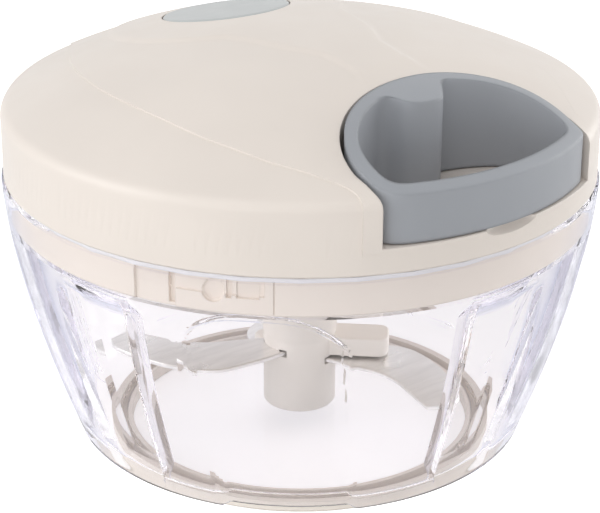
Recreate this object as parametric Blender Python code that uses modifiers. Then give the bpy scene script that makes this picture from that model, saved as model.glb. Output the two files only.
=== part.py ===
"""Pull-cord vegetable chopper: a clear fluted bowl, three curved blades on a spindle,
and a domed lid that holds the cord spool, its recoil spring and a one-way clutch.

Metres, +Z up. The origin is the centre of the foot ring's underside.
The pull handle faces -Y, and azimuths are counted from there towards +X.
"""
import math

import bmesh
import bpy
from mathutils import Matrix, Vector

# Fits shared by all pieces
SEAT = 0.0003
RUNNING = 0.0005
OVERRUN = 0.003
MERGE = 0.00001

# Steps of the turned shapes
LARGE_STEPS = 72
MEDIUM_STEPS = 36
SMALL_STEPS = 16

# Bowl
RIM_RADIUS = 0.0625
RIM_TOP = 0.0610
RIM_WALL = 0.0016
BOWL_WALL = 0.0022
BOWL_FLOOR = 0.0020
HEEL_RADIUS = 0.0489
HEEL_RISE = 0.0021
HEEL_WIDTH = 0.0035
INNER_HEEL_RADIUS = 0.0040
WALL_CURVE_POWER = 1.53
SEAL_SEAT_DEPTH = 0.0012
BOWL_STEPS = 80
OUTER_ROWS = 14
INNER_ROWS = 9
CORNER_ROWS = 3

# Foot ring under the bowl, and the bowl's bead in its groove
FOOT_RING_INSET = 0.0073
FOOT_RING_WIDTH = 0.0047
FOOT_RING_HEIGHT = 0.0031
FOOT_RING_EDGE = 0.0005
BEAD_INSET = 0.0027
BEAD_WIDTH = 0.0014
BEAD_DEPTH = 0.0018

# Dents in the bowl's wall
FLUTE_AZIMUTHS = (-82.0, 2.0, 98.0, 178.0)
FLUTE_HALF_ANGLE = 9.0
FLUTE_DEPTH = 0.0050
FLUTE_FOOT_DEPTH = 0.0032
FLUTE_BLEND = 0.0080
FLUTE_FOOT_RISE = 0.0020
FLUTE_FOOT_BLEND = 0.0040
PANEL_AZIMUTHS = (-48.0, 48.0, 138.0, -132.0)
PANEL_HALF_ANGLE = 16.5
PANEL_LEAN = 6.0
PANEL_DEPTH = 0.0020
PANEL_ARCH_DROP = 0.0075
PANEL_BLEND = 0.0024
DENT_EDGE_SHARE = 0.72
DENT_FLOOR_INSET = 0.0049
DENT_FLOOR_BLEND = 0.0050

# Bayonet lugs in the bowl's rim, and the lid's turn to its lock
LUG_COUNT = 3
LUG_AZIMUTH = -66.8
LUG_HALF_ANGLE = 3.4
LUG_HEIGHT = 0.0020
LUG_DROP = 0.0037
LUG_DEPTH = 0.0009
CHANNEL_MARGIN_ANGLE = 0.8
LOCK_ANGLE = 16.4
CHANNEL_HEADROOM = 0.0006
CHANNEL_ROOM = 0.0008

# Steel pivot in the bowl's floor
PIVOT_RADIUS = 0.0015
PIVOT_LENGTH = 0.0136
PIVOT_BOSS_RADIUS = 0.0036
PIVOT_BOSS_HEIGHT = 0.0030
PIVOT_SOCKET_FLOOR = 0.0005

# Blade hub
COLUMN_RADIUS = 0.0071
COLUMN_FLOOR_GAP = 0.0005
SHAFT_RADIUS = 0.0080
SHAFT_START_RISE = 0.0171
SHAFT_TAPER = 0.0010
HUB_SKIRT_ROOM = 0.0012
ARM_LENGTH = 0.0195
ARM_WIDTH = 0.0082
ARM_CORNER = 0.0016
ARM_HEIGHT = 0.0042
ARM_STEPS = 3

# Blades
BLADE_TIP_ROOM = 0.0064
BLADE_THICKNESS = 0.0010
BLADE_EYE_INSET = 0.0015
BLADE_EYE_WIDTH = 0.0026
UPPER_BLADE_RISE = 0.0139
MIDDLE_BLADE_RISE = 0.0114
LOWER_BLADE_RISE = 0.0056
BLADE_TANG_OUTER = 0.0038
BLADE_TANG_INNER = 0.0047
BLADE_OUTER_SHARES = (
    (0.33, 0.090),
    (0.55, 0.058),
    (0.70, -0.100),
    (0.79, -0.290),
    (0.828, -0.460),
    (0.795, -0.560),
)
BLADE_INNER_SHARES = (
    (0.675, -0.590),
    (0.605, -0.475),
    (0.515, -0.325),
    (0.410, -0.230),
    (0.290, -0.175),
)

# Coupling between the drive cup and the hub
DOG_COUNT = 3
DOG_HALF_ANGLE = 15.0
DOG_INNER = 0.0033
DOG_HEIGHT = 0.0038
SPIGOT_RADIUS = 0.0022
SPIGOT_LENGTH = 0.0060

# Lid base: floor, bayonet collar and bush tube
COLLAR_WALL = 0.0018
COLLAR_HEIGHT = 0.0082
NECK_HEIGHT = 0.0030
LID_FLOOR = 0.0020
SHAFT_HOLE_GAP = 0.0002
BUSH_TUBE_WALL = 0.0018
BUSH_TUBE_HEIGHT = 0.0077
BUSH_WALL = 0.0011
BUSH_FLANGE = 0.0010

# Lid seal
SEAL_WIDTH = 0.0006
SEAL_HEIGHT = 0.0009

# Lid shell
LID_INSET = 0.0002
LID_WALL = 0.0020
LID_HEIGHT = 0.0295
DOME_RADIUS = 0.1360
SHOULDER_ROUND = 0.0026
DOME_ROWS = 7
SHOULDER_ROWS = 4

# Handle and its pocket in the lid
HANDLE_FRONT_INSET = 0.0003
HANDLE_FRONT_DEPTH = 0.0120
HANDLE_HALF_WIDTH = 0.0264
HANDLE_WALL = 0.0026
HANDLE_PROUD = 0.0006
HANDLE_CURVE_POWER = 2.1
HANDLE_STEPS = 26
HANDLE_CORNER = 0.0016
HANDLE_INNER_CORNER = 0.0030
POCKET_SIDE_GAP = 0.0009
POCKET_REAR_GAP = 0.0007
POCKET_WALL = 0.0016
LEDGE_RISE = 0.0053
LEDGE_THICKNESS = 0.0020
SCALLOP_RADIUS = 0.0070
SCALLOP_DEPTH = 0.0032

# Cord boss inside the handle
BOSS_LEFT = -0.0036
BOSS_RIGHT = 0.0034
BOSS_FLARE = 0.0034
BOSS_LENGTH = 0.0088
BOSS_BLEND = 0.0050
KNOT_RADIUS = 0.0018
KNOT_DEPTH = 0.0051
KNOT_ROOM = 0.0004
KNOT_CHAMBER_RISE = 0.0030

# Cord
CORD_RADIUS = 0.0009
CORD_SIDE = -0.0020
CORD_TURNS = 3
EYELET_WALL = 0.0012
EYELET_FLANGE = 0.0010
EYELET_FLANGE_THICKNESS = 0.0006

# Disc set into the dome
DISC_RADIUS = 0.0136
DISC_PLACE = 0.0250
DISC_THICKNESS = 0.0012
DISC_PAD = 0.0016
DISC_PEG_RADIUS = 0.0012
DISC_PEG_OFFSET = 0.0080
DISC_PEG_LENGTH = 0.0022

# Lid screws
SCREW_AZIMUTHS = (50.0, 130.0, -130.0, -50.0)
SCREW_INSET = 0.0124
SCREW_RADIUS = 0.0014
SCREW_HEAD_RADIUS = 0.0030
SCREW_HEAD_HEIGHT = 0.0015
SCREW_LENGTH = 0.0130
POST_WALL = 0.0025

# Spool axle
AXLE_RADIUS = 0.0030
AXLE_TOP_COVER = 0.0054
AXLE_BOSS_RADIUS = 0.0060
AXLE_SCREW_RADIUS = 0.0015
AXLE_SCREW_DEPTH = 0.0065
AXLE_HEAD_RADIUS = 0.0036
AXLE_HEAD_HEIGHT = 0.0014
WASHER_RADIUS = 0.0060
WASHER_THICKNESS = 0.0009

# Cord spool
DRUM_RADIUS = 0.0180
DRUM_WALL = 0.0018
GROOVE_DEPTH = 0.0080
SPOOL_FLANGE = 0.0014
SPOOL_ROOM = 0.0024
CORD_GROOVE = 0.0060
SPOOL_HUB_WALL = 0.0015
SPOOL_HUB_HEIGHT = 0.0035
COVER_LEDGE = 0.0010
COVER_THICKNESS = 0.0008

# Recoil spring, a flat strip wound in a spiral
SPRING_INNER_ROOM = 0.0007
SPRING_OUTER_ROOM = 0.0006
SPRING_TURNS = 6
SPRING_STRIP = 0.0004
SPRING_POINTS_A_TURN = 15

# Drive cup with its ratchet
CUP_RADIUS = 0.0190
CUP_WALL = 0.0021
CUP_FLOOR = 0.0020
CUP_HEIGHT = 0.0069
SLEEVE_WALL = 0.0016
SLEEVE_LENGTH = 0.0068
TOOTH_COUNT = 12
TOOTH_DEPTH = 0.0016
TOOTH_FACE_LEAD = 26.0

# Pawls on the spool's underside
PAWL_COUNT = 2
PAWL_START = 93.75
PAWL_INSET = 0.0058
PAWL_EYE = 0.0020
PAWL_PIN_RADIUS = 0.0009
PAWL_REACH = 0.0076
PAWL_TIP = 0.0016
PAWL_ANGLE = 50.0
PAWL_DROP = 0.0009
PAWL_THICKNESS = 0.0032

# Radii and depths that follow from the sizes above
RIM_INNER = RIM_RADIUS - RIM_WALL
COLLAR_RADIUS = RIM_INNER - RUNNING
SEAL_INNER = COLLAR_RADIUS + SEAT
SEAL_OUTER = SEAL_INNER + SEAL_WIDTH
LID_RADIUS = RIM_RADIUS - LID_INSET
NECK_RADIUS = LID_RADIUS - LID_WALL - SEAT
CHANNEL_FLOOR = RIM_INNER - LUG_DEPTH - CHANNEL_ROOM
SCREW_CIRCLE = COLLAR_RADIUS - SCREW_INSET
POST_RADIUS = SCREW_RADIUS + SEAT + POST_WALL
FOOT_RING_OUTER = HEEL_RADIUS - FOOT_RING_INSET
FOOT_RING_INNER = FOOT_RING_OUTER - FOOT_RING_WIDTH
BEAD_RADIUS = FOOT_RING_OUTER - BEAD_INSET
DENT_FLOOR_RADIUS = HEEL_RADIUS - HEEL_WIDTH - DENT_FLOOR_INSET
BLADE_REACH = HEEL_RADIUS - BLADE_TIP_ROOM
BLADE_EYE_RADIUS = COLUMN_RADIUS - BLADE_EYE_INSET
BLADE_EYE_HOLE = BLADE_EYE_RADIUS - BLADE_EYE_WIDTH
HUB_SKIRT_BORE = PIVOT_BOSS_RADIUS + HUB_SKIRT_ROOM
SLEEVE_INNER = SHAFT_RADIUS + RUNNING
SLEEVE_OUTER = SLEEVE_INNER + SLEEVE_WALL
SHAFT_HOLE = SLEEVE_OUTER + SHAFT_HOLE_GAP
BUSH_INNER = SLEEVE_OUTER + RUNNING
BUSH_OUTER = BUSH_INNER + BUSH_WALL
BUSH_TUBE_RADIUS = BUSH_OUTER + SEAT
BUSH_TUBE_OUTER = BUSH_TUBE_RADIUS + BUSH_TUBE_WALL
TOOTH_ROOT_RADIUS = CUP_RADIUS - CUP_WALL
TOOTH_TIP_RADIUS = TOOTH_ROOT_RADIUS - TOOTH_DEPTH
PAWL_CIRCLE = TOOTH_TIP_RADIUS - PAWL_INSET
SPOOL_FLANGE_RADIUS = DRUM_RADIUS + GROOVE_DEPTH
SPRING_CAVITY_RADIUS = DRUM_RADIUS - DRUM_WALL
COVER_RADIUS = SPRING_CAVITY_RADIUS + COVER_LEDGE
SPRING_INNER = AXLE_BOSS_RADIUS + SPRING_INNER_ROOM
SPRING_OUTER = SPRING_CAVITY_RADIUS - SPRING_OUTER_ROOM
POCKET_FACE = SPOOL_FLANGE_RADIUS + SPOOL_ROOM
POCKET_REAR = POCKET_FACE + POCKET_WALL
HANDLE_REAR = POCKET_REAR + POCKET_REAR_GAP
HANDLE_FRONT = LID_RADIUS - HANDLE_FRONT_INSET
HANDLE_CENTRE = HANDLE_FRONT - HANDLE_FRONT_DEPTH
BOSS_REACH = HANDLE_REAR + BOSS_LENGTH
KNOT_PLACE = HANDLE_REAR + KNOT_DEPTH
KNOT_CHAMBER = KNOT_RADIUS + KNOT_ROOM
EYELET_BORE = CORD_RADIUS + SEAT
EYELET_OUTER = EYELET_BORE + EYELET_WALL
EYELET_FACE = POCKET_FACE - SEAT
EYELET_INNER_END = EYELET_FACE - EYELET_FLANGE_THICKNESS
CORD_BEND = CORD_RADIUS + CORD_RADIUS
CORD_MOUTH = EYELET_INNER_END - CORD_BEND

# Angles that follow from the sizes above
CHANNEL_START = LUG_AZIMUTH - LUG_HALF_ANGLE - CHANNEL_MARGIN_ANGLE
CHANNEL_ENTRY_END = LUG_AZIMUTH + LUG_HALF_ANGLE + CHANNEL_MARGIN_ANGLE
CHANNEL_END = CHANNEL_ENTRY_END + LOCK_ANGLE

# Heights that follow from the sizes above, from the foot up
BOWL_UNDERSIDE = FOOT_RING_HEIGHT + SEAT
BOWL_FLOOR_TOP = BOWL_UNDERSIDE + BOWL_FLOOR
HEEL_HEIGHT = BOWL_UNDERSIDE + HEEL_RISE
FLUTE_FOOT = HEEL_HEIGHT + FLUTE_FOOT_RISE
PIVOT_BOSS_TOP = BOWL_FLOOR_TOP + PIVOT_BOSS_HEIGHT
PIVOT_TOP = BOWL_FLOOR_TOP + PIVOT_LENGTH
HUB_BOTTOM = BOWL_FLOOR_TOP + COLUMN_FLOOR_GAP
SHAFT_START = BOWL_FLOOR_TOP + SHAFT_START_RISE
BLADES = (
    ("blade_upper", -94.0, BOWL_FLOOR_TOP + UPPER_BLADE_RISE),
    ("blade_middle", 45.0, BOWL_FLOOR_TOP + MIDDLE_BLADE_RISE),
    ("blade_lower", 165.0, BOWL_FLOOR_TOP + LOWER_BLADE_RISE),
)
COLLAR_TOP = RIM_TOP
COLLAR_BOTTOM = COLLAR_TOP - COLLAR_HEIGHT
RIM_STEP = COLLAR_BOTTOM - SEAT
SEAL_SEAT = RIM_TOP - SEAL_SEAT_DEPTH
LUG_BOTTOM = RIM_TOP - LUG_DROP
LUG_TOP = LUG_BOTTOM + LUG_HEIGHT
LID_FLOOR_TOP = COLLAR_BOTTOM + LID_FLOOR
SCREW_SEAT = COLLAR_BOTTOM + SEAT + SCREW_HEAD_HEIGHT + SEAT
SCREW_TIP = SCREW_SEAT + SCREW_LENGTH
BUSH_TUBE_TOP = COLLAR_BOTTOM + BUSH_TUBE_HEIGHT
BUSH_FLANGE_TOP = BUSH_TUBE_TOP + SEAT + BUSH_FLANGE
CUP_FLOOR_BOTTOM = BUSH_FLANGE_TOP + SEAT
CUP_TOP = CUP_FLOOR_BOTTOM + CUP_HEIGHT
SLEEVE_BOTTOM = CUP_FLOOR_BOTTOM - SLEEVE_LENGTH
SPIGOT_END = CUP_FLOOR_BOTTOM - SPIGOT_LENGTH
DOG_TOP = CUP_FLOOR_BOTTOM - SEAT
SHAFT_TOP = DOG_TOP - DOG_HEIGHT
SPOOL_BOTTOM = CUP_TOP + RUNNING
PAWL_TOP = SPOOL_BOTTOM - PAWL_DROP
PAWL_BOTTOM = PAWL_TOP - PAWL_THICKNESS
SPOOL_FLOOR_TOP = SPOOL_BOTTOM + SPOOL_FLANGE
SPOOL_GROOVE_TOP = SPOOL_FLOOR_TOP + CORD_GROOVE
SPOOL_TOP = SPOOL_GROOVE_TOP + SPOOL_FLANGE
SPOOL_HUB_TOP = SPOOL_BOTTOM + SPOOL_HUB_HEIGHT
COVER_BOTTOM = SPOOL_TOP - COVER_THICKNESS
AXLE_BOSS_BOTTOM = SPOOL_HUB_TOP + SEAT
NECK_TOP = COLLAR_TOP + NECK_HEIGHT
SKIRT_BOTTOM = RIM_TOP + SEAT
LEDGE_HEIGHT = SKIRT_BOTTOM + LEDGE_RISE
HANDLE_BOTTOM = LEDGE_HEIGHT + SEAT
CORD_HEIGHT = SPOOL_FLOOR_TOP + CORD_GROOVE / 2
KNOT_CHAMBER_TOP = CORD_HEIGHT + KNOT_CHAMBER_RISE
DOME_TOP = SKIRT_BOTTOM + LID_HEIGHT
DOME_CENTRE = DOME_TOP - DOME_RADIUS
AXLE_TOP = DOME_TOP - AXLE_TOP_COVER

COLOURS = {
    "clear": ((0.90, 0.91, 0.95), 0.05, 0.0),
    "cream": ((0.84, 0.77, 0.70), 0.35, 0.0),
    "soft_cream": ((0.80, 0.72, 0.63), 0.60, 0.0),
    "blue_grey": ((0.34, 0.38, 0.42), 0.38, 0.0),
    "light_grey": ((0.60, 0.63, 0.63), 0.30, 0.0),
    "steel": ((0.60, 0.61, 0.62), 0.25, 1.0),
    "spring_steel": ((0.30, 0.31, 0.33), 0.35, 1.0),
    "nylon": ((0.78, 0.78, 0.76), 0.45, 0.0),
    "cord": ((0.75, 0.73, 0.68), 0.80, 0.0),
}


# Scene and materials

def clear_scene():
    for thing in list(bpy.data.objects):
        bpy.data.objects.remove(thing, do_unlink=True)


def new_collection(name):
    collection = bpy.data.collections.new(name)
    bpy.context.scene.collection.children.link(collection)
    return collection


def plastic_or_metal(name, finish):
    colour, roughness, metallic = COLOURS[finish]
    material = bpy.data.materials.new(name)
    material.use_nodes = True
    shader = material.node_tree.nodes["Principled BSDF"]
    shader.inputs["Base Color"].default_value = (*colour, 1.0)
    shader.inputs["Roughness"].default_value = roughness
    shader.inputs["Metallic"].default_value = metallic
    material.diffuse_color = (*colour, 1.0)
    return material


clear_scene()
PARTS = new_collection("vegetable_chopper")
CUTTERS = new_collection("cutters")


def finish_part(thing, finish):
    thing.data.materials.clear()
    thing.data.materials.append(plastic_or_metal(thing.name + "_finish", finish))
    thing.data.shade_smooth()
    thing.data.set_sharp_from_angle(angle=math.radians(35.0))
    return thing


def as_cutter(thing):
    for owner in thing.users_collection:
        owner.objects.unlink(thing)
    CUTTERS.objects.link(thing)
    thing.hide_render = True
    thing.display_type = "WIRE"
    return thing


def from_bmesh(name, bm):
    mesh = bpy.data.meshes.new(name)
    bmesh.ops.recalc_face_normals(bm, faces=bm.faces)
    bm.to_mesh(mesh)
    bm.free()
    thing = bpy.data.objects.new(name, mesh)
    PARTS.objects.link(thing)
    return thing


# Plane geometry

def polar(radius, azimuth):
    turn = math.radians(azimuth)
    return radius * math.sin(turn), -radius * math.cos(turn)


def smooth_step(low, high, value):
    share = min(1.0, max(0.0, (value - low) / (high - low)))
    return share * share * (3.0 - 2.0 * share)


def arc(centre, radius, start, end, steps):
    turns = [math.radians(start + (end - start) * i / steps) for i in range(steps + 1)]
    return [(centre[0] + radius * math.cos(t), centre[1] + radius * math.sin(t)) for t in turns]


def fillet(before, corner, after, radius, steps):
    """A corner's round, as a curve between points that lie one radius from the corner."""
    corner = Vector(corner)
    start = corner + (Vector(before) - corner).normalized() * radius
    end = corner + (Vector(after) - corner).normalized() * radius
    points = []
    for i in range(steps + 1):
        t = i / steps
        points.append(tuple((1 - t) ** 2 * start + 2 * t * (1 - t) * corner + t * t * end))
    return points


def through(points, steps):
    """A smooth curve through hand-placed points."""
    ends = [points[0]] + list(points) + [points[-1]]
    vectors = [Vector(p) for p in ends]
    curve = []
    for i in range(1, len(vectors) - 2):
        a, b, c, d = vectors[i - 1:i + 3]
        for k in range(steps):
            t = k / steps
            curve.append(0.5 * (2 * b + (c - a) * t + (2 * a - 5 * b + 4 * c - d) * t ** 2
                                + (3 * b - a - 3 * c + d) * t ** 3))
    curve.append(vectors[-2])
    return [tuple(p) for p in curve]


# Solids

def turned(name, profile, steps=MEDIUM_STEPS, closed=True):
    """A profile of (radius, height) points, turned round Z. An open one ends on the axis."""
    mesh = bpy.data.meshes.new(name)
    edges = [(i, i + 1) for i in range(len(profile) - 1)]
    if closed:
        edges.append((len(profile) - 1, 0))
    mesh.from_pydata([(r, 0.0, z) for r, z in profile], edges, [])
    thing = bpy.data.objects.new(name, mesh)
    PARTS.objects.link(thing)
    screw = thing.modifiers.new("turn", "SCREW")
    screw.steps = steps
    screw.render_steps = steps
    screw.use_merge_vertices = True
    screw.merge_threshold = MERGE
    return thing


def ring(name, outer, inner, bottom, top, steps=MEDIUM_STEPS):
    return turned(name, [(outer, top), (outer, bottom), (inner, bottom), (inner, top)], steps)


def sector(name, outer, inner, bottom, top, start, end, steps=4):
    """A piece of a ring between two azimuths."""
    bm = bmesh.new()
    corners = [(outer, top), (outer, bottom), (inner, bottom), (inner, top)]
    turn = Matrix.Rotation(math.radians(start - 90.0), 3, "Z")
    verts = [bm.verts.new(turn @ Vector((r, 0.0, z))) for r, z in corners]
    bm.faces.new(verts)
    bmesh.ops.spin(bm, geom=bm.verts[:] + bm.edges[:] + bm.faces[:], cent=(0, 0, 0),
                   axis=(0, 0, 1), angle=math.radians(end - start), steps=steps)
    return from_bmesh(name, bm)


def cylinder(name, radius, bottom, top, place=(0.0, 0.0), steps=SMALL_STEPS):
    bm = bmesh.new()
    bmesh.ops.create_cone(bm, cap_ends=True, segments=steps, radius1=radius, radius2=radius,
                          depth=top - bottom)
    bmesh.ops.translate(bm, verts=bm.verts, vec=(*place, (top + bottom) / 2))
    return from_bmesh(name, bm)


def extruded(name, outline, bottom, top, holes=()):
    """A flat outline with holes, extruded along Z."""
    curve = bpy.data.curves.new(name, "CURVE")
    curve.dimensions = "2D"
    curve.fill_mode = "BOTH"
    curve.extrude = (top - bottom) / 2
    for points in (outline, *holes):
        spline = curve.splines.new("POLY")
        spline.points.add(len(points) - 1)
        for target, point in zip(spline.points, points):
            target.co = (point[0], point[1], 0.0, 1.0)
        spline.use_cyclic_u = True
    drawn = bpy.data.objects.new(name + "_outline", curve)
    drawn.location.z = (top + bottom) / 2
    PARTS.objects.link(drawn)
    return curve_to_mesh(name, drawn)


def curve_to_mesh(name, drawn):
    bpy.context.view_layer.update()
    seen = drawn.evaluated_get(bpy.context.evaluated_depsgraph_get())
    mesh = bpy.data.meshes.new_from_object(seen)
    mesh.name = name
    bm = bmesh.new()
    bm.from_mesh(mesh)
    bmesh.ops.remove_doubles(bm, verts=bm.verts, dist=MERGE)
    bmesh.ops.recalc_face_normals(bm, faces=bm.faces)
    bm.to_mesh(mesh)
    bm.free()
    thing = bpy.data.objects.new(name, mesh)
    thing.matrix_world = drawn.matrix_world.copy()
    PARTS.objects.link(thing)
    bpy.data.objects.remove(drawn, do_unlink=True)
    return thing


def combine(target, other, operation):
    as_cutter(other)
    modifier = target.modifiers.new(operation.lower(), "BOOLEAN")
    modifier.operation = operation
    modifier.solver = "EXACT"
    modifier.object = other
    return target


def cut(target, *cutters):
    for cutter in cutters:
        combine(target, cutter, "DIFFERENCE")
    return target


def fuse(target, *additions):
    for addition in additions:
        combine(target, addition, "UNION")
    return target


# Bowl

def bowl_radius(height):
    drop = (RIM_TOP - height) / (RIM_TOP - HEEL_HEIGHT)
    return RIM_RADIUS - (RIM_RADIUS - HEEL_RADIUS) * max(0.0, drop) ** WALL_CURVE_POWER


def azimuth_gap(azimuth, place):
    return (azimuth - place + 180.0) % 360.0 - 180.0


def dent_depth(azimuth, height):
    """How far the wall is pressed in: narrow deep flutes and wide shallow arched panels."""
    depth = 0.0
    for place in FLUTE_AZIMUTHS:
        across = abs(azimuth_gap(azimuth, place)) / FLUTE_HALF_ANGLE
        side = 1.0 - smooth_step(DENT_EDGE_SHARE, 1.0, across)
        upper = 1.0 - smooth_step(RIM_STEP - FLUTE_BLEND, RIM_STEP, height)
        lower = smooth_step(FLUTE_FOOT - FLUTE_FOOT_BLEND / 2, FLUTE_FOOT + FLUTE_FOOT_BLEND / 2, height)
        rise = height / RIM_STEP
        full = FLUTE_FOOT_DEPTH + (FLUTE_DEPTH - FLUTE_FOOT_DEPTH) * min(1.0, rise)
        depth = max(depth, full * side * upper * lower)
    for place in PANEL_AZIMUTHS:
        centre = place + PANEL_LEAN * (1.0 - height / RIM_STEP)
        across = abs(azimuth_gap(azimuth, centre)) / PANEL_HALF_ANGLE
        side = 1.0 - smooth_step(DENT_EDGE_SHARE, 1.0, across)
        arch = RIM_STEP - PANEL_ARCH_DROP * min(1.0, across) ** 3
        upper = 1.0 - smooth_step(arch - PANEL_BLEND, arch, height)
        depth = max(depth, PANEL_DEPTH * side * upper)
    return depth


def bowl_profile():
    rows = [RIM_TOP + (HEEL_HEIGHT - RIM_TOP) * i / OUTER_ROWS for i in range(OUTER_ROWS + 1)]
    outer = [(bowl_radius(z), z) for z in rows]
    for i in range(1, CORNER_ROWS + 1):
        turn = math.radians(90.0 * i / CORNER_ROWS)
        outer.append((HEEL_RADIUS - HEEL_WIDTH * (1.0 - math.cos(turn)),
                      HEEL_HEIGHT - HEEL_RISE * math.sin(turn)))
    under = [(DENT_FLOOR_RADIUS, BOWL_UNDERSIDE), (0.0, BOWL_UNDERSIDE)]
    floor = [(0.0, BOWL_FLOOR_TOP), (DENT_FLOOR_RADIUS, BOWL_FLOOR_TOP)]
    corner_top = BOWL_FLOOR_TOP + INNER_HEEL_RADIUS
    corner_centre = bowl_radius(corner_top) - BOWL_WALL - INNER_HEEL_RADIUS
    inner = arc((corner_centre, corner_top), INNER_HEEL_RADIUS, -90.0, 0.0, CORNER_ROWS)
    climb = RIM_STEP - corner_top
    for i in range(1, INNER_ROWS + 1):
        z = corner_top + climb * i / INNER_ROWS
        inner.append((bowl_radius(z) - BOWL_WALL, z))
    rim = [
        (RIM_INNER, RIM_STEP),
        (RIM_INNER, SEAL_SEAT),
        (SEAL_OUTER + SEAT, SEAL_SEAT),
        (SEAL_OUTER + SEAT, RIM_TOP),
    ]
    return outer + under, floor + inner + rim


def make_bowl():
    outside, inside = bowl_profile()
    profile = outside + inside
    bm = bmesh.new()
    verts = [bm.verts.new((r, 0.0, z)) for r, z in profile]
    last = len(outside) - 1
    for i in range(len(verts)):
        if i != last:
            bm.edges.new((verts[i], verts[(i + 1) % len(verts)]))
    bmesh.ops.spin(bm, geom=bm.verts[:] + bm.edges[:], cent=(0, 0, 0), axis=(0, 0, 1),
                   angle=2 * math.pi, steps=BOWL_STEPS)
    bmesh.ops.remove_doubles(bm, verts=bm.verts, dist=MERGE)
    for vert in bm.verts:
        radius = math.hypot(vert.co.x, vert.co.y)
        if radius <= DENT_FLOOR_RADIUS:
            continue
        azimuth = math.degrees(math.atan2(vert.co.x, -vert.co.y))
        spread = smooth_step(DENT_FLOOR_RADIUS, DENT_FLOOR_RADIUS + DENT_FLOOR_BLEND, radius)
        pressed = radius - dent_depth(azimuth, vert.co.z) * spread
        vert.co.x *= pressed / radius
        vert.co.y *= pressed / radius
    bowl = from_bmesh("bowl", bm)
    bead = ring("bead", BEAD_RADIUS + BEAD_WIDTH / 2, BEAD_RADIUS - BEAD_WIDTH / 2,
                BOWL_UNDERSIDE - BEAD_DEPTH, BOWL_UNDERSIDE + BOWL_FLOOR / 2)
    bead.rotation_euler.z = math.pi / BOWL_STEPS
    fuse(bowl, bead)
    fuse(bowl, cylinder("pivot_boss", PIVOT_BOSS_RADIUS, BOWL_UNDERSIDE + BOWL_FLOOR / 2,
                        PIVOT_BOSS_TOP))
    cut(bowl, cylinder("pivot_socket", PIVOT_RADIUS + SEAT, BOWL_UNDERSIDE + PIVOT_SOCKET_FLOOR,
                       PIVOT_BOSS_TOP + OVERRUN))
    for i in range(LUG_COUNT):
        middle = LUG_AZIMUTH + 360.0 * i / LUG_COUNT
        lug = sector("lug_%d" % i, RIM_INNER + RUNNING, RIM_INNER - LUG_DEPTH, LUG_BOTTOM,
                     LUG_TOP, middle - LUG_HALF_ANGLE, middle + LUG_HALF_ANGLE)
        fuse(bowl, lug)
    return finish_part(bowl, "clear")


def make_foot_ring():
    groove_outer = BEAD_RADIUS + BEAD_WIDTH / 2 + SEAT
    groove_inner = BEAD_RADIUS - BEAD_WIDTH / 2 - SEAT
    groove_floor = BOWL_UNDERSIDE - BEAD_DEPTH - SEAT
    profile = [
        (FOOT_RING_OUTER, FOOT_RING_HEIGHT),
        (FOOT_RING_OUTER, FOOT_RING_EDGE),
        (FOOT_RING_OUTER - FOOT_RING_EDGE, 0.0),
        (FOOT_RING_INNER + FOOT_RING_EDGE, 0.0),
        (FOOT_RING_INNER, FOOT_RING_EDGE),
        (FOOT_RING_INNER, FOOT_RING_HEIGHT),
        (groove_inner, FOOT_RING_HEIGHT),
        (groove_inner, groove_floor),
        (groove_outer, groove_floor),
        (groove_outer, FOOT_RING_HEIGHT),
    ]
    return finish_part(turned("foot_ring", profile, LARGE_STEPS // 2), "soft_cream")


def make_pivot_pin():
    bottom = BOWL_UNDERSIDE + PIVOT_SOCKET_FLOOR + SEAT
    return finish_part(cylinder("pivot_pin", PIVOT_RADIUS, bottom, PIVOT_TOP), "steel")


# Blades and hub

def blade_outline():
    root = COLUMN_RADIUS - SEAT
    outer = [(root, BLADE_TANG_OUTER)]
    outer += [(BLADE_REACH * x, BLADE_REACH * y) for x, y in BLADE_OUTER_SHARES]
    inner = [(BLADE_REACH * x, BLADE_REACH * y) for x, y in BLADE_INNER_SHARES]
    inner.append((root, -BLADE_TANG_INNER))
    start = math.degrees(math.atan2(inner[-1][1], inner[-1][0])) - 20.0
    end = math.degrees(math.atan2(outer[0][1], outer[0][0])) + 20.0 - 360.0
    eye = arc((0.0, 0.0), BLADE_EYE_RADIUS, start, end, 12)
    return through(outer, 3) + through(inner, 3) + eye


def make_blade(name, azimuth, height):
    half = BLADE_THICKNESS / 2
    hole = round_hole(BLADE_EYE_HOLE)
    blade = extruded(name, blade_outline(), height - half, height + half, [hole])
    blade.rotation_euler.z = math.radians(azimuth - 90.0)
    return finish_part(blade, "steel")


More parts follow.
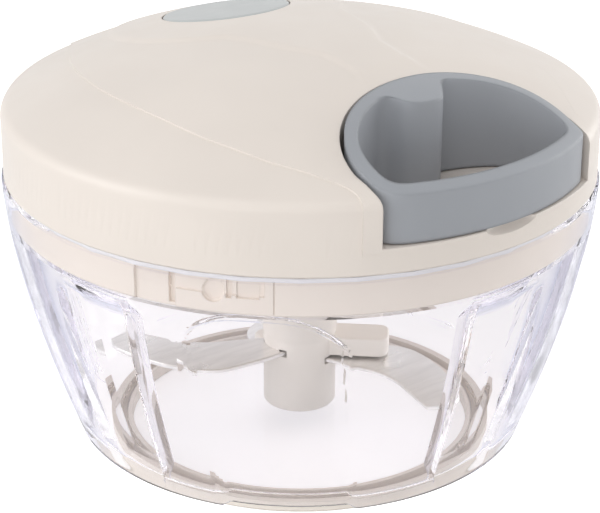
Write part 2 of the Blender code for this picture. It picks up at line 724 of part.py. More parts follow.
def make_blade_hub():
    profile = [
        (0.0, SHAFT_TOP),
        (SHAFT_RADIUS, SHAFT_TOP),
        (SHAFT_RADIUS, SHAFT_START),
        (COLUMN_RADIUS, SHAFT_START - SHAFT_TAPER),
        (COLUMN_RADIUS, HUB_BOTTOM),
        (0.0, HUB_BOTTOM),
    ]
    hub = turned("blade_hub", profile, MEDIUM_STEPS, closed=False)
    for name, azimuth, height in BLADES:
        low = height + BLADE_THICKNESS / 2 + SEAT + SEAT / 2
        corners = [
            (0.0, -ARM_WIDTH / 2),
            (ARM_LENGTH, -ARM_WIDTH / 2),
            (ARM_LENGTH, ARM_WIDTH / 2),
            (0.0, ARM_WIDTH / 2),
        ]
        outline = [corners[0]]
        outline += fillet(corners[0], corners[1], corners[2], ARM_CORNER, ARM_STEPS)
        outline += fillet(corners[1], corners[2], corners[3], ARM_CORNER, ARM_STEPS)
        outline.append(corners[3])
        arm = extruded(name + "_arm", outline, low, low + ARM_HEIGHT)
        arm.rotation_euler.z = math.radians(azimuth - 90.0)
        fuse(hub, arm)
    for i in range(DOG_COUNT):
        middle = 360.0 * i / DOG_COUNT
        fuse(hub, sector("hub_dog_%d" % i, SHAFT_RADIUS - SEAT, DOG_INNER, SHAFT_TOP - OVERRUN / 2,
                         DOG_TOP, middle - DOG_HALF_ANGLE, middle + DOG_HALF_ANGLE))
    skirt_top = PIVOT_BOSS_TOP + RUNNING
    bore = turned("hub_bore", [
        (0.0, PIVOT_TOP + SEAT),
        (PIVOT_RADIUS + SEAT, PIVOT_TOP + SEAT),
        (PIVOT_RADIUS + SEAT, skirt_top),
        (HUB_SKIRT_BORE, skirt_top),
        (HUB_SKIRT_BORE, HUB_BOTTOM - OVERRUN),
        (0.0, HUB_BOTTOM - OVERRUN),
    ], SMALL_STEPS, closed=False)
    spigot_hole = cylinder("spigot_hole", SPIGOT_RADIUS + SEAT, SPIGOT_END - RUNNING,
                           DOG_TOP + OVERRUN)
    cut(hub, bore, spigot_hole)
    for name, azimuth, height in BLADES:
        cut(hub, blade_slot(name + "_slot", azimuth, height))
    return finish_part(hub, "cream")


def blade_slot(name, azimuth, height):
    """The room round a blade's eye and tang inside the column."""
    outer_side = BLADE_TANG_OUTER + RUNNING
    inner_side = -BLADE_TANG_INNER - RUNNING
    mouth = COLUMN_RADIUS + SEAT
    eye = BLADE_EYE_RADIUS + SEAT
    start = math.degrees(math.asin(outer_side / eye))
    end = 360.0 + math.degrees(math.asin(inner_side / eye))
    outline = [(mouth, outer_side)] + arc((0.0, 0.0), eye, start, end, 14) + [(mouth, inner_side)]
    half = BLADE_THICKNESS / 2 + SEAT
    slot = extruded(name, outline, height - half, height + half, [round_hole(BLADE_EYE_HOLE - SEAT)])
    slot.rotation_euler.z = math.radians(azimuth - 90.0)
    return slot


# Lid shell

def dome_height(radius, rise=0.0):
    return DOME_CENTRE + math.sqrt((DOME_RADIUS + rise) ** 2 - radius ** 2)


def lid_profile(inset):
    """From the dome's middle to the foot of the skirt, moved inwards by the inset."""
    side = LID_RADIUS - inset
    round_size = SHOULDER_ROUND
    dome_end = side - round_size
    points = []
    for i in range(DOME_ROWS + 1):
        radius = dome_end * i / DOME_ROWS
        points.append((radius, dome_height(radius, -inset)))
    corner = (side, dome_height(side, -inset))
    start = Vector(points[-1])
    end = Vector((side, corner[1] - round_size))
    for i in range(1, SHOULDER_ROWS + 1):
        t = i / SHOULDER_ROWS
        points.append(tuple((1 - t) ** 2 * start + 2 * t * (1 - t) * Vector(corner) + t * t * end))
    return points


def handle_curve(half_width, rear, steps):
    """The rear of the handle's outline, from its left side round the back to its right side."""
    depth = HANDLE_CENTRE - rear
    points = []
    for i in range(steps + 1):
        turn = math.pi * i / steps
        across = math.cos(turn)
        along = max(0.0, math.sin(turn))
        x = -half_width * math.copysign(abs(across) ** (2.0 / HANDLE_CURVE_POWER), across)
        u = HANDLE_CENTRE - depth * along ** (2.0 / HANDLE_CURVE_POWER)
        points.append((x, -u))
    return points


def pocket_outline(growth):
    half_width = HANDLE_HALF_WIDTH + POCKET_SIDE_GAP + growth
    rear = POCKET_REAR - growth
    front = -(LID_RADIUS + OVERRUN)
    return [(-half_width, front)] + handle_curve(half_width, rear, HANDLE_STEPS) + [(half_width, front)]


def disc_tilt():
    """Turns a shape drawn about Z, with the dome's centre of curvature as its origin, to the disc."""
    lean = math.asin(DISC_PLACE / DOME_RADIUS)
    return Matrix.Translation((0.0, 0.0, DOME_CENTRE)) @ Matrix.Rotation(-lean, 4, "X")


def on_dome(name, radius, bottom, top, across=0.0, steps=MEDIUM_STEPS):
    """A cylinder square to the dome at the disc, between two depths below its surface."""
    thing = cylinder(name, radius, DOME_RADIUS - bottom, DOME_RADIUS - top, (across, 0.0), steps)
    thing.matrix_world = disc_tilt()
    return thing


def screw_post(index, name, radius, bottom, top):
    place = polar(SCREW_CIRCLE, SCREW_AZIMUTHS[index])
    return cylinder("%s_%d" % (name, index), radius, bottom, top, place)


def make_lid_shell():
    outside = lid_profile(0.0) + [(LID_RADIUS, SKIRT_BOTTOM), (0.0, SKIRT_BOTTOM)]
    shell = turned("lid_shell", outside, LARGE_STEPS, closed=False)
    under = SKIRT_BOTTOM - OVERRUN
    inside = lid_profile(LID_WALL) + [(LID_RADIUS - LID_WALL, under), (0.0, under)]
    hollow = turned("lid_hollow", inside, LARGE_STEPS, closed=False)
    ledge_under = LEDGE_HEIGHT - LEDGE_THICKNESS
    pocket_walls = extruded("pocket_walls", pocket_outline(POCKET_WALL), ledge_under, DOME_TOP)
    axle_boss = cylinder("axle_boss", AXLE_BOSS_RADIUS, AXLE_BOSS_BOTTOM, DOME_TOP, steps=MEDIUM_STEPS)
    disc_pad = on_dome("disc_pad", DISC_RADIUS + DISC_PAD, DISC_THICKNESS + SEAT + DISC_PAD, 0.0)
    cut(hollow, pocket_walls, axle_boss, disc_pad)
    for i in range(len(SCREW_AZIMUTHS)):
        cut(hollow, screw_post(i, "post", POST_RADIUS, under - OVERRUN, DOME_TOP))
    cut(shell, hollow)
    cut(shell, extruded("pocket", pocket_outline(0.0), LEDGE_HEIGHT, DOME_TOP + OVERRUN))
    scallop = cylinder("finger_scallop", SCALLOP_RADIUS, LEDGE_HEIGHT - OVERRUN,
                       LEDGE_HEIGHT + OVERRUN, (0.0, -LID_RADIUS - SCALLOP_RADIUS + SCALLOP_DEPTH))
    cut(shell, scallop)
    cut(shell, on_dome("disc_recess", DISC_RADIUS + SEAT, DISC_THICKNESS + SEAT, -OVERRUN))
    for side in (-1, 1):
        cut(shell, on_dome("disc_peg_hole_%d" % side, DISC_PEG_RADIUS + SEAT,
                           DISC_THICKNESS + SEAT + DISC_PAD + OVERRUN, -OVERRUN,
                           side * DISC_PEG_OFFSET, SMALL_STEPS))
    cut(shell, cylinder("axle_hole", AXLE_RADIUS + SEAT, AXLE_BOSS_BOTTOM - OVERRUN, AXLE_TOP + SEAT))
    for i in range(len(SCREW_AZIMUTHS)):
        cut(shell, screw_post(i, "pilot", SCREW_RADIUS + SEAT, SKIRT_BOTTOM - OVERRUN,
                              SCREW_TIP + SEAT))
    cut(shell, along_cord("eyelet_hole", EYELET_OUTER + SEAT, POCKET_FACE - OVERRUN,
                          POCKET_REAR + OVERRUN))
    return finish_part(shell, "cream")


def along_cord(name, radius, start, end, steps=SMALL_STEPS):
    """A cylinder on the cord's line, between two distances in front of the lid's axis."""
    thing = cylinder(name, radius, start, end, steps=steps)
    thing.matrix_world = Matrix.Translation((CORD_SIDE, 0.0, CORD_HEIGHT)) @ Matrix.Rotation(
        math.radians(90.0), 4, "X")
    return thing


def make_disc_cap():
    cap = on_dome("disc_cap", DISC_RADIUS, DISC_THICKNESS, -OVERRUN)
    outside = lid_profile(0.0) + [(LID_RADIUS, SKIRT_BOTTOM), (0.0, SKIRT_BOTTOM)]
    combine(cap, turned("dome_envelope", outside, LARGE_STEPS, closed=False), "INTERSECT")
    for side in (-1, 1):
        fuse(cap, on_dome("disc_peg_%d" % side, DISC_PEG_RADIUS, DISC_THICKNESS + DISC_PEG_LENGTH,
                          DISC_THICKNESS / 2, side * DISC_PEG_OFFSET, SMALL_STEPS))
    return finish_part(cap, "light_grey")


def make_cord_eyelet():
    profile = [
        (EYELET_OUTER, POCKET_REAR),
        (EYELET_OUTER, EYELET_FACE),
        (EYELET_OUTER + EYELET_FLANGE, EYELET_FACE),
        (EYELET_OUTER + EYELET_FLANGE, EYELET_INNER_END),
        (EYELET_BORE, EYELET_INNER_END),
        (EYELET_BORE, POCKET_REAR),
    ]
    eyelet = turned("cord_eyelet", profile, SMALL_STEPS)
    eyelet.matrix_world = Matrix.Translation((CORD_SIDE, 0.0, CORD_HEIGHT)) @ Matrix.Rotation(
        math.radians(90.0), 4, "X")
    return finish_part(eyelet, "nylon")


# Pull handle

def handle_outline(half_width, rear, radius, corner):
    """The rear curve closed by the front wall's arc, with rounded corners."""
    edge = math.degrees(math.asin(half_width / radius))
    front = [polar(radius, edge - 2.0 * edge * i / HANDLE_STEPS) for i in range(HANDLE_STEPS + 1)]
    rear = [p for p in rear if p[1] > front[0][1] + corner]
    inner = [p for p in front if abs(p[0]) < half_width - corner]
    return (rear + fillet(rear[-1], front[0], inner[0], corner, CORNER_ROWS) + inner
            + fillet(inner[-1], front[-1], rear[0], corner, CORNER_ROWS))


def handle_inner_rear(half_width):
    """The rear of the handle's inside, with the boss that the cord runs through."""
    rear = []
    for x, y in handle_curve(half_width, HANDLE_REAR + HANDLE_WALL, HANDLE_STEPS):
        if x < BOSS_LEFT:
            share = smooth_step(BOSS_LEFT - BOSS_BLEND, BOSS_LEFT, x)
            rear.append((x, y - share * max(0.0, BOSS_REACH + y)))
        elif x > BOSS_RIGHT + BOSS_FLARE:
            rear.append((x, y))
    split = next(i for i, point in enumerate(rear) if point[0] > BOSS_RIGHT)
    boss = [(BOSS_LEFT, -BOSS_REACH), (BOSS_RIGHT, -BOSS_REACH)]
    return rear[:split] + boss + rear[split:]


def make_pull_handle():
    rear = handle_curve(HANDLE_HALF_WIDTH, HANDLE_REAR, HANDLE_STEPS)
    outer = handle_outline(HANDLE_HALF_WIDTH, rear, HANDLE_FRONT, HANDLE_CORNER)
    half_width = HANDLE_HALF_WIDTH - HANDLE_WALL
    inner = handle_outline(half_width, handle_inner_rear(half_width), HANDLE_FRONT - HANDLE_WALL,
                           HANDLE_INNER_CORNER)
    handle = extruded("pull_handle", outer, HANDLE_BOTTOM, DOME_TOP, [inner])
    crown = [(r, dome_height(r, HANDLE_PROUD)) for r in
             [HANDLE_FRONT * i / DOME_ROWS for i in range(DOME_ROWS + 1)]]
    crown[-1] = (HANDLE_FRONT + OVERRUN, dome_height(HANDLE_FRONT, HANDLE_PROUD))
    crown += [(HANDLE_FRONT + OVERRUN, HANDLE_BOTTOM - OVERRUN), (0.0, HANDLE_BOTTOM - OVERRUN)]
    combine(handle, turned("handle_crown", crown, LARGE_STEPS, closed=False), "INTERSECT")
    chamber = cylinder("knot_chamber", KNOT_CHAMBER, HANDLE_BOTTOM - OVERRUN, KNOT_CHAMBER_TOP,
                       (CORD_SIDE, -KNOT_PLACE))
    cut(handle, chamber, along_cord("cord_hole", EYELET_BORE, HANDLE_REAR - OVERRUN, KNOT_PLACE))
    return finish_part(handle, "blue_grey")


def make_cord_knot():
    bm = bmesh.new()
    bmesh.ops.create_uvsphere(bm, u_segments=SMALL_STEPS, v_segments=10, radius=KNOT_RADIUS)
    bmesh.ops.translate(bm, verts=bm.verts, vec=(CORD_SIDE, -KNOT_PLACE, CORD_HEIGHT))
    return finish_part(from_bmesh("cord_knot", bm), "cord")


def cord_tangent():
    """Where the cord's centre line leaves the winding for the eyelet, on the drum's -X side."""
    line_radius = DRUM_RADIUS + SEAT + CORD_RADIUS
    mouth = Vector((CORD_SIDE, -CORD_MOUTH))
    lean = math.acos(line_radius / mouth.length)
    azimuth = math.degrees(math.atan2(mouth.x, -mouth.y) - lean)
    return Vector(polar(line_radius, azimuth))


def make_pull_cord():
    """The cord between the winding and the knot, along its real route."""
    leave = cord_tangent()
    line_radius = leave.length
    mouth = Vector((CORD_SIDE, -CORD_MOUTH))
    run = (mouth - leave).normalized()
    clear_of_winding = line_radius + 2 * CORD_RADIUS + SEAT
    start = leave + run * math.sqrt(clear_of_winding ** 2 - line_radius ** 2)
    turn_in = mouth - run * CORD_BEND
    end_reach = KNOT_PLACE - KNOT_RADIUS - SEAT
    places = [
        start,
        (start + turn_in) / 2,
        turn_in,
        Vector((CORD_SIDE, mouth.y - CORD_BEND / 2)),
        Vector((CORD_SIDE, (mouth.y - end_reach) / 2)),
        Vector((CORD_SIDE, -end_reach)),
    ]
    curve = bpy.data.curves.new("pull_cord", "CURVE")
    curve.dimensions = "3D"
    curve.bevel_depth = CORD_RADIUS
    curve.bevel_resolution = 2
    curve.use_fill_caps = True
    spline = curve.splines.new("POLY")
    points = through([tuple(p) for p in places], 4)
    spline.points.add(len(points) - 1)
    for target, (x, y) in zip(spline.points, points):
        target.co = (x, y, CORD_HEIGHT, 1.0)
    drawn = bpy.data.objects.new("pull_cord_route", curve)
    PARTS.objects.link(drawn)
    return finish_part(curve_to_mesh("pull_cord", drawn), "cord")


# Lid base and its screws

def make_lid_base():
    inside = COLLAR_RADIUS - COLLAR_WALL
    profile = [
        (NECK_RADIUS, NECK_TOP),
        (NECK_RADIUS, COLLAR_TOP),
        (COLLAR_RADIUS, COLLAR_TOP),
        (COLLAR_RADIUS, COLLAR_BOTTOM),
        (SHAFT_HOLE, COLLAR_BOTTOM),
        (SHAFT_HOLE, LID_FLOOR_TOP),
        (BUSH_TUBE_RADIUS, LID_FLOOR_TOP),
        (BUSH_TUBE_RADIUS, BUSH_TUBE_TOP),
        (BUSH_TUBE_OUTER, BUSH_TUBE_TOP),
        (BUSH_TUBE_OUTER, LID_FLOOR_TOP),
        (inside, LID_FLOOR_TOP),
        (inside, NECK_TOP),
    ]
    base = turned("lid_base", profile, LARGE_STEPS)
    for i in range(LUG_COUNT):
        shift = 360.0 * i / LUG_COUNT
        entry = sector("entry_%d" % i, COLLAR_RADIUS + OVERRUN, CHANNEL_FLOOR,
                       COLLAR_BOTTOM - OVERRUN, LUG_TOP + CHANNEL_HEADROOM,
                       CHANNEL_START + shift, CHANNEL_ENTRY_END + shift)
        run = sector("run_%d" % i, COLLAR_RADIUS + OVERRUN, CHANNEL_FLOOR,
                     LUG_BOTTOM - CHANNEL_HEADROOM, LUG_TOP + CHANNEL_HEADROOM,
                     CHANNEL_START + shift, CHANNEL_END + shift, 8)
        cut(base, entry, run)
    for i in range(len(SCREW_AZIMUTHS)):
        fuse(base, screw_post(i, "base_boss", POST_RADIUS, LID_FLOOR_TOP - LID_FLOOR / 2,
                              COLLAR_TOP))
        counterbore = screw_post(i, "counterbore", SCREW_HEAD_RADIUS + SEAT,
                                 COLLAR_BOTTOM - OVERRUN, SCREW_SEAT)
        clearance = screw_post(i, "clearance", SCREW_RADIUS + SEAT,
                               COLLAR_BOTTOM - OVERRUN, COLLAR_TOP + OVERRUN)
        cut(base, counterbore, clearance)
    return finish_part(base, "cream")


def make_lid_screw(index):
    head_bottom = COLLAR_BOTTOM + SEAT
    head_top = head_bottom + SCREW_HEAD_HEIGHT
    place = polar(SCREW_CIRCLE, SCREW_AZIMUTHS[index])
    screw = fastener("lid_screw_%d" % (index + 1), SCREW_HEAD_RADIUS, SCREW_RADIUS, head_bottom,
                     head_top, SCREW_TIP, place)
    return finish_part(screw, "steel")


def fastener(name, head, shank, head_bottom, head_top, tip, place=(0.0, 0.0)):
    """A screw with its head down, turned in one piece."""
    bm = bmesh.new()
    profile = [(0.0, tip), (shank, tip), (shank, head_top), (head, head_top),
               (head, head_bottom), (0.0, head_bottom)]
    verts = [bm.verts.new((r, 0.0, z)) for r, z in profile]
    for a, b in zip(verts, verts[1:]):
        bm.edges.new((a, b))
    bmesh.ops.spin(bm, geom=bm.verts[:] + bm.edges[:], cent=(0, 0, 0), axis=(0, 0, 1),
                   angle=2 * math.pi, steps=SMALL_STEPS)
    bmesh.ops.remove_doubles(bm, verts=bm.verts, dist=MERGE)
    bmesh.ops.translate(bm, verts=bm.verts, vec=(*place, 0.0))
    return from_bmesh(name, bm)


def make_lid_seal():
    bottom = SEAL_SEAT + SEAT
    seal = ring("lid_seal", SEAL_OUTER, SEAL_INNER, bottom, bottom + SEAL_HEIGHT, LARGE_STEPS // 2)
    return finish_part(seal, "soft_cream")


# Spool, spring and axle

def make_spool_axle():
    axle = cylinder("spool_axle", AXLE_RADIUS, SPOOL_BOTTOM, AXLE_TOP)
    cut(axle, cylinder("axle_thread", AXLE_SCREW_RADIUS + SEAT, SPOOL_BOTTOM - OVERRUN,
                       SPOOL_BOTTOM + AXLE_SCREW_DEPTH + SEAT))
    return finish_part(axle, "steel")


def make_axle_washer():
    top = SPOOL_BOTTOM - SEAT
    washer = ring("axle_washer", WASHER_RADIUS, AXLE_SCREW_RADIUS + SEAT, top - WASHER_THICKNESS,
                  top, SMALL_STEPS)
    return finish_part(washer, "steel")


def make_axle_screw():
    head_top = SPOOL_BOTTOM - SEAT - WASHER_THICKNESS - SEAT
    screw = fastener("axle_screw", AXLE_HEAD_RADIUS, AXLE_SCREW_RADIUS, head_top - AXLE_HEAD_HEIGHT,
                     head_top, SPOOL_BOTTOM + AXLE_SCREW_DEPTH)
    return finish_part(screw, "steel")


def make_cord_spool():
    bore = AXLE_RADIUS + SEAT
    hub = bore + SPOOL_HUB_WALL
    rebate = COVER_RADIUS + SEAT
    profile = [
        (SPOOL_FLANGE_RADIUS, SPOOL_TOP),
        (SPOOL_FLANGE_RADIUS, SPOOL_GROOVE_TOP),
        (DRUM_RADIUS, SPOOL_GROOVE_TOP),
        (DRUM_RADIUS, SPOOL_FLOOR_TOP),
        (SPOOL_FLANGE_RADIUS, SPOOL_FLOOR_TOP),
        (SPOOL_FLANGE_RADIUS, SPOOL_BOTTOM),
        (bore, SPOOL_BOTTOM),
        (bore, SPOOL_HUB_TOP),
        (hub, SPOOL_HUB_TOP),
        (hub, SPOOL_FLOOR_TOP),
        (SPRING_CAVITY_RADIUS, SPOOL_FLOOR_TOP),
        (SPRING_CAVITY_RADIUS, COVER_BOTTOM - SEAT),
        (rebate, COVER_BOTTOM - SEAT),
        (rebate, SPOOL_TOP),
    ]
    spool = turned("cord_spool", profile, MEDIUM_STEPS)
    for i in range(PAWL_COUNT):
        place = polar(PAWL_CIRCLE, pawl_azimuth(i))
        cut(spool, cylinder("pawl_pin_hole_%d" % i, PAWL_PIN_RADIUS + SEAT, SPOOL_BOTTOM - OVERRUN,
                            SPOOL_FLOOR_TOP + OVERRUN, place))
    return finish_part(spool, "nylon")


def make_spring_cover():
    cover = ring("spring_cover", COVER_RADIUS, AXLE_BOSS_RADIUS + RUNNING, COVER_BOTTOM, SPOOL_TOP)
    return finish_part(cover, "nylon")


def make_cord_winding():
    """The turns of cord on the drum, side by side, as one plain ring."""
    inner = DRUM_RADIUS + SEAT
    pitch = 2 * CORD_RADIUS
    top = CORD_HEIGHT + CORD_TURNS * pitch / 2
    profile = []
    for turn in range(CORD_TURNS):
        centre = (inner + CORD_RADIUS, top - pitch * (turn + 0.5))
        for x, z in arc(centre, CORD_RADIUS, 90.0, -90.0, 4)[1:-1]:
            profile.append((x, z))
    profile.append((inner, top - CORD_TURNS * pitch))
    profile.append((inner, top))
    return finish_part(turned("cord_winding", profile, MEDIUM_STEPS), "cord")


def make_recoil_spring():
    bottom = SPOOL_FLOOR_TOP + RUNNING
    top = COVER_BOTTOM - RUNNING
    count = SPRING_TURNS * SPRING_POINTS_A_TURN
    bm = bmesh.new()
    lower = []
    upper = []
    for i in range(count + 1):
        radius = SPRING_INNER + (SPRING_OUTER - SPRING_INNER) * i / count
        turn = 2 * math.pi * i / SPRING_POINTS_A_TURN
        lower.append(bm.verts.new((radius * math.cos(turn), radius * math.sin(turn), bottom)))
        upper.append(bm.verts.new((radius * math.cos(turn), radius * math.sin(turn), top)))
    for i in range(count):
        bm.faces.new((lower[i], lower[i + 1], upper[i + 1], upper[i]))
    spring = from_bmesh("recoil_spring", bm)
    wall = spring.modifiers.new("strip", "SOLIDIFY")
    wall.thickness = SPRING_STRIP
    wall.offset = 0.0
    return finish_part(spring, "spring_steel")


# Clutch

def pawl_azimuth(index):
    return PAWL_START + 360.0 * index / PAWL_COUNT


def make_pawl_pin(index):
    pin = cylinder("pawl_pin_%d" % (index + 1), PAWL_PIN_RADIUS, PAWL_BOTTOM, SPOOL_FLOOR_TOP,
                   polar(PAWL_CIRCLE, pawl_azimuth(index)))
    return finish_part(pin, "steel")


def make_pawl(index):
    """A pawl drawn round its pin, pointing ahead and outwards."""
    outline = arc((0.0, 0.0), PAWL_EYE, PAWL_ANGLE + 90.0, PAWL_ANGLE + 270.0, 8)
    ahead = Vector((math.cos(math.radians(PAWL_ANGLE)), math.sin(math.radians(PAWL_ANGLE))))
    side = Vector((ahead.y, -ahead.x))
    for across in (PAWL_TIP / 2, -PAWL_TIP / 2):
        outline.append(tuple(ahead * PAWL_REACH + side * across))
    pawl = extruded("pawl_%d" % (index + 1), outline, PAWL_BOTTOM, PAWL_TOP,
                    [round_hole(PAWL_PIN_RADIUS + SEAT)])
    azimuth = pawl_azimuth(index)
    pawl.location = (*polar(PAWL_CIRCLE, azimuth), pawl.location.z)
    pawl.rotation_euler.z = math.radians(azimuth - 90.0)
    return finish_part(pawl, "steel")


def round_hole(radius):
    return arc((0.0, 0.0), radius, 0.0, 360.0 - 360.0 / SMALL_STEPS, SMALL_STEPS - 1)


def make_drive_cup():
    """The ratchet cup above its bush, with the sleeve that reaches down over the hub."""
    profile = [
        (0.0, CUP_TOP),
        (CUP_RADIUS, CUP_TOP),
        (CUP_RADIUS, CUP_FLOOR_BOTTOM),
        (SLEEVE_OUTER, CUP_FLOOR_BOTTOM),
        (SLEEVE_OUTER, SLEEVE_BOTTOM),
        (SLEEVE_INNER, SLEEVE_BOTTOM),
        (SLEEVE_INNER, CUP_FLOOR_BOTTOM),
        (SPIGOT_RADIUS, CUP_FLOOR_BOTTOM),
        (SPIGOT_RADIUS, SPIGOT_END),
        (0.0, SPIGOT_END),
    ]
    cup = turned("drive_cup", profile, MEDIUM_STEPS, closed=False)
    teeth = []
    pitch = 360.0 / TOOTH_COUNT
    for i in range(TOOTH_COUNT):
        face = PAWL_START - 90.0 + TOOTH_FACE_LEAD + pitch * i
        teeth += arc((0.0, 0.0), TOOTH_TIP_RADIUS, face, face, 1)[:1]
        teeth += arc((0.0, 0.0), TOOTH_ROOT_RADIUS, face + pitch, face + pitch, 1)[:1]
    cut(cup, extruded("ratchet_teeth", teeth, CUP_FLOOR_BOTTOM + CUP_FLOOR, CUP_TOP + OVERRUN))
    for i in range(DOG_COUNT):
        middle = 360.0 * (i + 0.5) / DOG_COUNT
        fuse(cup, sector("cup_dog_%d" % i, SLEEVE_INNER + SLEEVE_WALL / 2, DOG_INNER,
                         SHAFT_TOP + SEAT, CUP_FLOOR_BOTTOM + CUP_FLOOR / 2,
                         middle - DOG_HALF_ANGLE, middle + DOG_HALF_ANGLE))
    return finish_part(cup, "nylon")


def make_drive_bush():
    flange_bottom = BUSH_TUBE_TOP + SEAT
    bottom = LID_FLOOR_TOP + SEAT
    profile = [
        (BUSH_TUBE_OUTER, BUSH_FLANGE_TOP),
        (BUSH_TUBE_OUTER, flange_bottom),
        (BUSH_OUTER, flange_bottom),
        (BUSH_OUTER, bottom),
        (BUSH_INNER, bottom),
        (BUSH_INNER, BUSH_FLANGE_TOP),
    ]
    return finish_part(turned("drive_bush", profile, MEDIUM_STEPS), "nylon")


def build():
    make_foot_ring()
    make_bowl()
    make_pivot_pin()
    make_blade_hub()
    for name, azimuth, height in BLADES:
        make_blade(name, azimuth, height)
    make_lid_seal()
    make_lid_base()
    for index in range(len(SCREW_AZIMUTHS)):
        make_lid_screw(index)
    make_drive_bush()
    make_drive_cup()
    make_spool_axle()
    make_axle_washer()
    make_axle_screw()
    make_cord_spool()
    make_cord_winding()
    make_recoil_spring()
    make_spring_cover()
    for index in range(PAWL_COUNT):
        make_pawl_pin(index)
        make_pawl(index)
    make_lid_shell()
    make_disc_cap()
    make_cord_eyelet()
    make_pull_cord()
    make_pull_handle()
    make_cord_knot()


build()
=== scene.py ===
"""Pull-cord vegetable chopper, dressed for its picture.

Sizes are in millimetres and heights run from the foot. Azimuths are degrees from the
handle towards its right side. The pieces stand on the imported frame.
"""
import math

import bpy
from mathutils import Matrix, Vector


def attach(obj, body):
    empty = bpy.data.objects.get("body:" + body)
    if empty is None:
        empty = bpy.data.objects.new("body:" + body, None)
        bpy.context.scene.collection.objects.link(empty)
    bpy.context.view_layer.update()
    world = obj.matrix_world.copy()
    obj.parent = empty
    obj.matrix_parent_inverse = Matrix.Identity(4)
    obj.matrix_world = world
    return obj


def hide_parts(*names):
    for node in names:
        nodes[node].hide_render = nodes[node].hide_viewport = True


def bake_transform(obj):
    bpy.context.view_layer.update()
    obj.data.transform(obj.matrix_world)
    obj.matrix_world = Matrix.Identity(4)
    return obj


MM = 0.001
WELD = 0.004
ON_AXIS = 0.001
FULL_TURN = 360.0

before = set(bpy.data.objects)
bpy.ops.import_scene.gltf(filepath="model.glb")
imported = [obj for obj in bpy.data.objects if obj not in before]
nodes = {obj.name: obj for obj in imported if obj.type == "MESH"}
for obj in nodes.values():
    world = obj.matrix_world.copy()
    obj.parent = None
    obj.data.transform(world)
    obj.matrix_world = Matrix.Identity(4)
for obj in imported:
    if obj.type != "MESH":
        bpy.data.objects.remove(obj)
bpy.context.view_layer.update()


# Bench tools

def put_down():
    if bpy.context.mode != "OBJECT":
        bpy.ops.object.mode_set(mode="OBJECT")
    bpy.ops.object.select_all(action="DESELECT")


def pick(piece):
    put_down()
    piece.select_set(True)
    bpy.context.view_layer.objects.active = piece


def open_up(piece, kind="VERT"):
    pick(piece)
    bpy.ops.object.mode_set(mode="EDIT")
    bpy.ops.mesh.select_mode(type=kind)


def named(name):
    piece = bpy.context.object
    piece.name = name
    piece.data.name = name
    bpy.ops.object.transform_apply(location=True, rotation=True, scale=True)
    return piece


def clean_up():
    """Merges doubles and turns the faces outwards, with the piece open."""
    bpy.ops.mesh.select_all(action="SELECT")
    bpy.ops.mesh.remove_doubles(threshold=WELD * MM)
    bpy.ops.mesh.normals_make_consistent(inside=False)
    bpy.ops.object.mode_set(mode="OBJECT")


def turned(name, profile, steps=96, closed=True):
    """Draws a circle out along a profile of (radius, height), one row at a time."""
    put_down()
    radius, height = max(profile[0][0], ON_AXIS), profile[0][1]
    bpy.ops.mesh.primitive_circle_add(vertices=steps, radius=radius * MM,
                                      location=(0, 0, height * MM))
    piece = named(name)
    open_up(piece)
    bpy.ops.mesh.select_all(action="SELECT")
    for wide, high in list(profile[1:]) + ([profile[0]] if closed else []):
        wide = max(wide, ON_AXIS)
        bpy.ops.mesh.extrude_region_move(
            TRANSFORM_OT_translate={"value": (0, 0, (high - height) * MM)})
        share = wide / radius
        bpy.ops.transform.resize(value=(share, share, 1), center_override=(0, 0, 0))
        radius, height = wide, high
    clean_up()
    return piece


def rod(name, radius, low, high, steps):
    """A plain round bar on the chopper's axis, between two heights."""
    return turned(name, [(0.0, low), (radius, low), (radius, high), (0.0, high)], steps, closed=False)


def placed(piece, matrix):
    """Moves and turns a piece, and leaves the move in its mesh."""
    piece.matrix_world = matrix
    pick(piece)
    bpy.ops.object.transform_apply(location=True, rotation=True)
    return piece


def sheet_of(name, outline, height):
    """Draws a flat outline point by point and fills it, and leaves the piece open."""
    put_down()
    x, y = outline[0]
    bpy.ops.mesh.primitive_plane_add(size=MM, location=(x * MM, y * MM, height * MM))
    piece = named(name)
    open_up(piece)
    bpy.ops.mesh.select_all(action="SELECT")
    bpy.ops.mesh.merge(type="CENTER")
    for next_x, next_y in outline[1:]:
        bpy.ops.mesh.extrude_vertices_move(
            TRANSFORM_OT_translate={"value": ((next_x - x) * MM, (next_y - y) * MM, 0)})
        x, y = next_x, next_y
    bpy.ops.mesh.select_all(action="SELECT")
    bpy.ops.mesh.edge_face_add()
    return piece


def cut_out(name, outline, bottom, top):
    """A flat outline, filled and pulled up."""
    piece = sheet_of(name, outline, bottom)
    bpy.ops.mesh.extrude_region_move(
        TRANSFORM_OT_translate={"value": (0, 0, (top - bottom) * MM)})
    clean_up()
    return piece


def wall_between(name, outer, inner, bottom, top):
    """Two outlines bridged to a flat ring, and the ring pulled up."""
    lines = [sheet_of(name, plan, bottom) for plan in (outer, inner)]
    put_down()
    for line in lines:
        line.select_set(True)
    bpy.context.view_layer.objects.active = lines[0]
    bpy.ops.object.join()
    wall = bpy.context.object
    open_up(wall, "EDGE")
    bpy.ops.mesh.select_all(action="SELECT")
    bpy.ops.mesh.delete(type="ONLY_FACE")
    bpy.ops.mesh.select_all(action="SELECT")
    bpy.ops.mesh.bridge_edge_loops()
    bpy.ops.mesh.select_all(action="SELECT")
    bpy.ops.mesh.extrude_region_move(
        TRANSFORM_OT_translate={"value": (0, 0, (top - bottom) * MM)})
    clean_up()
    return wall


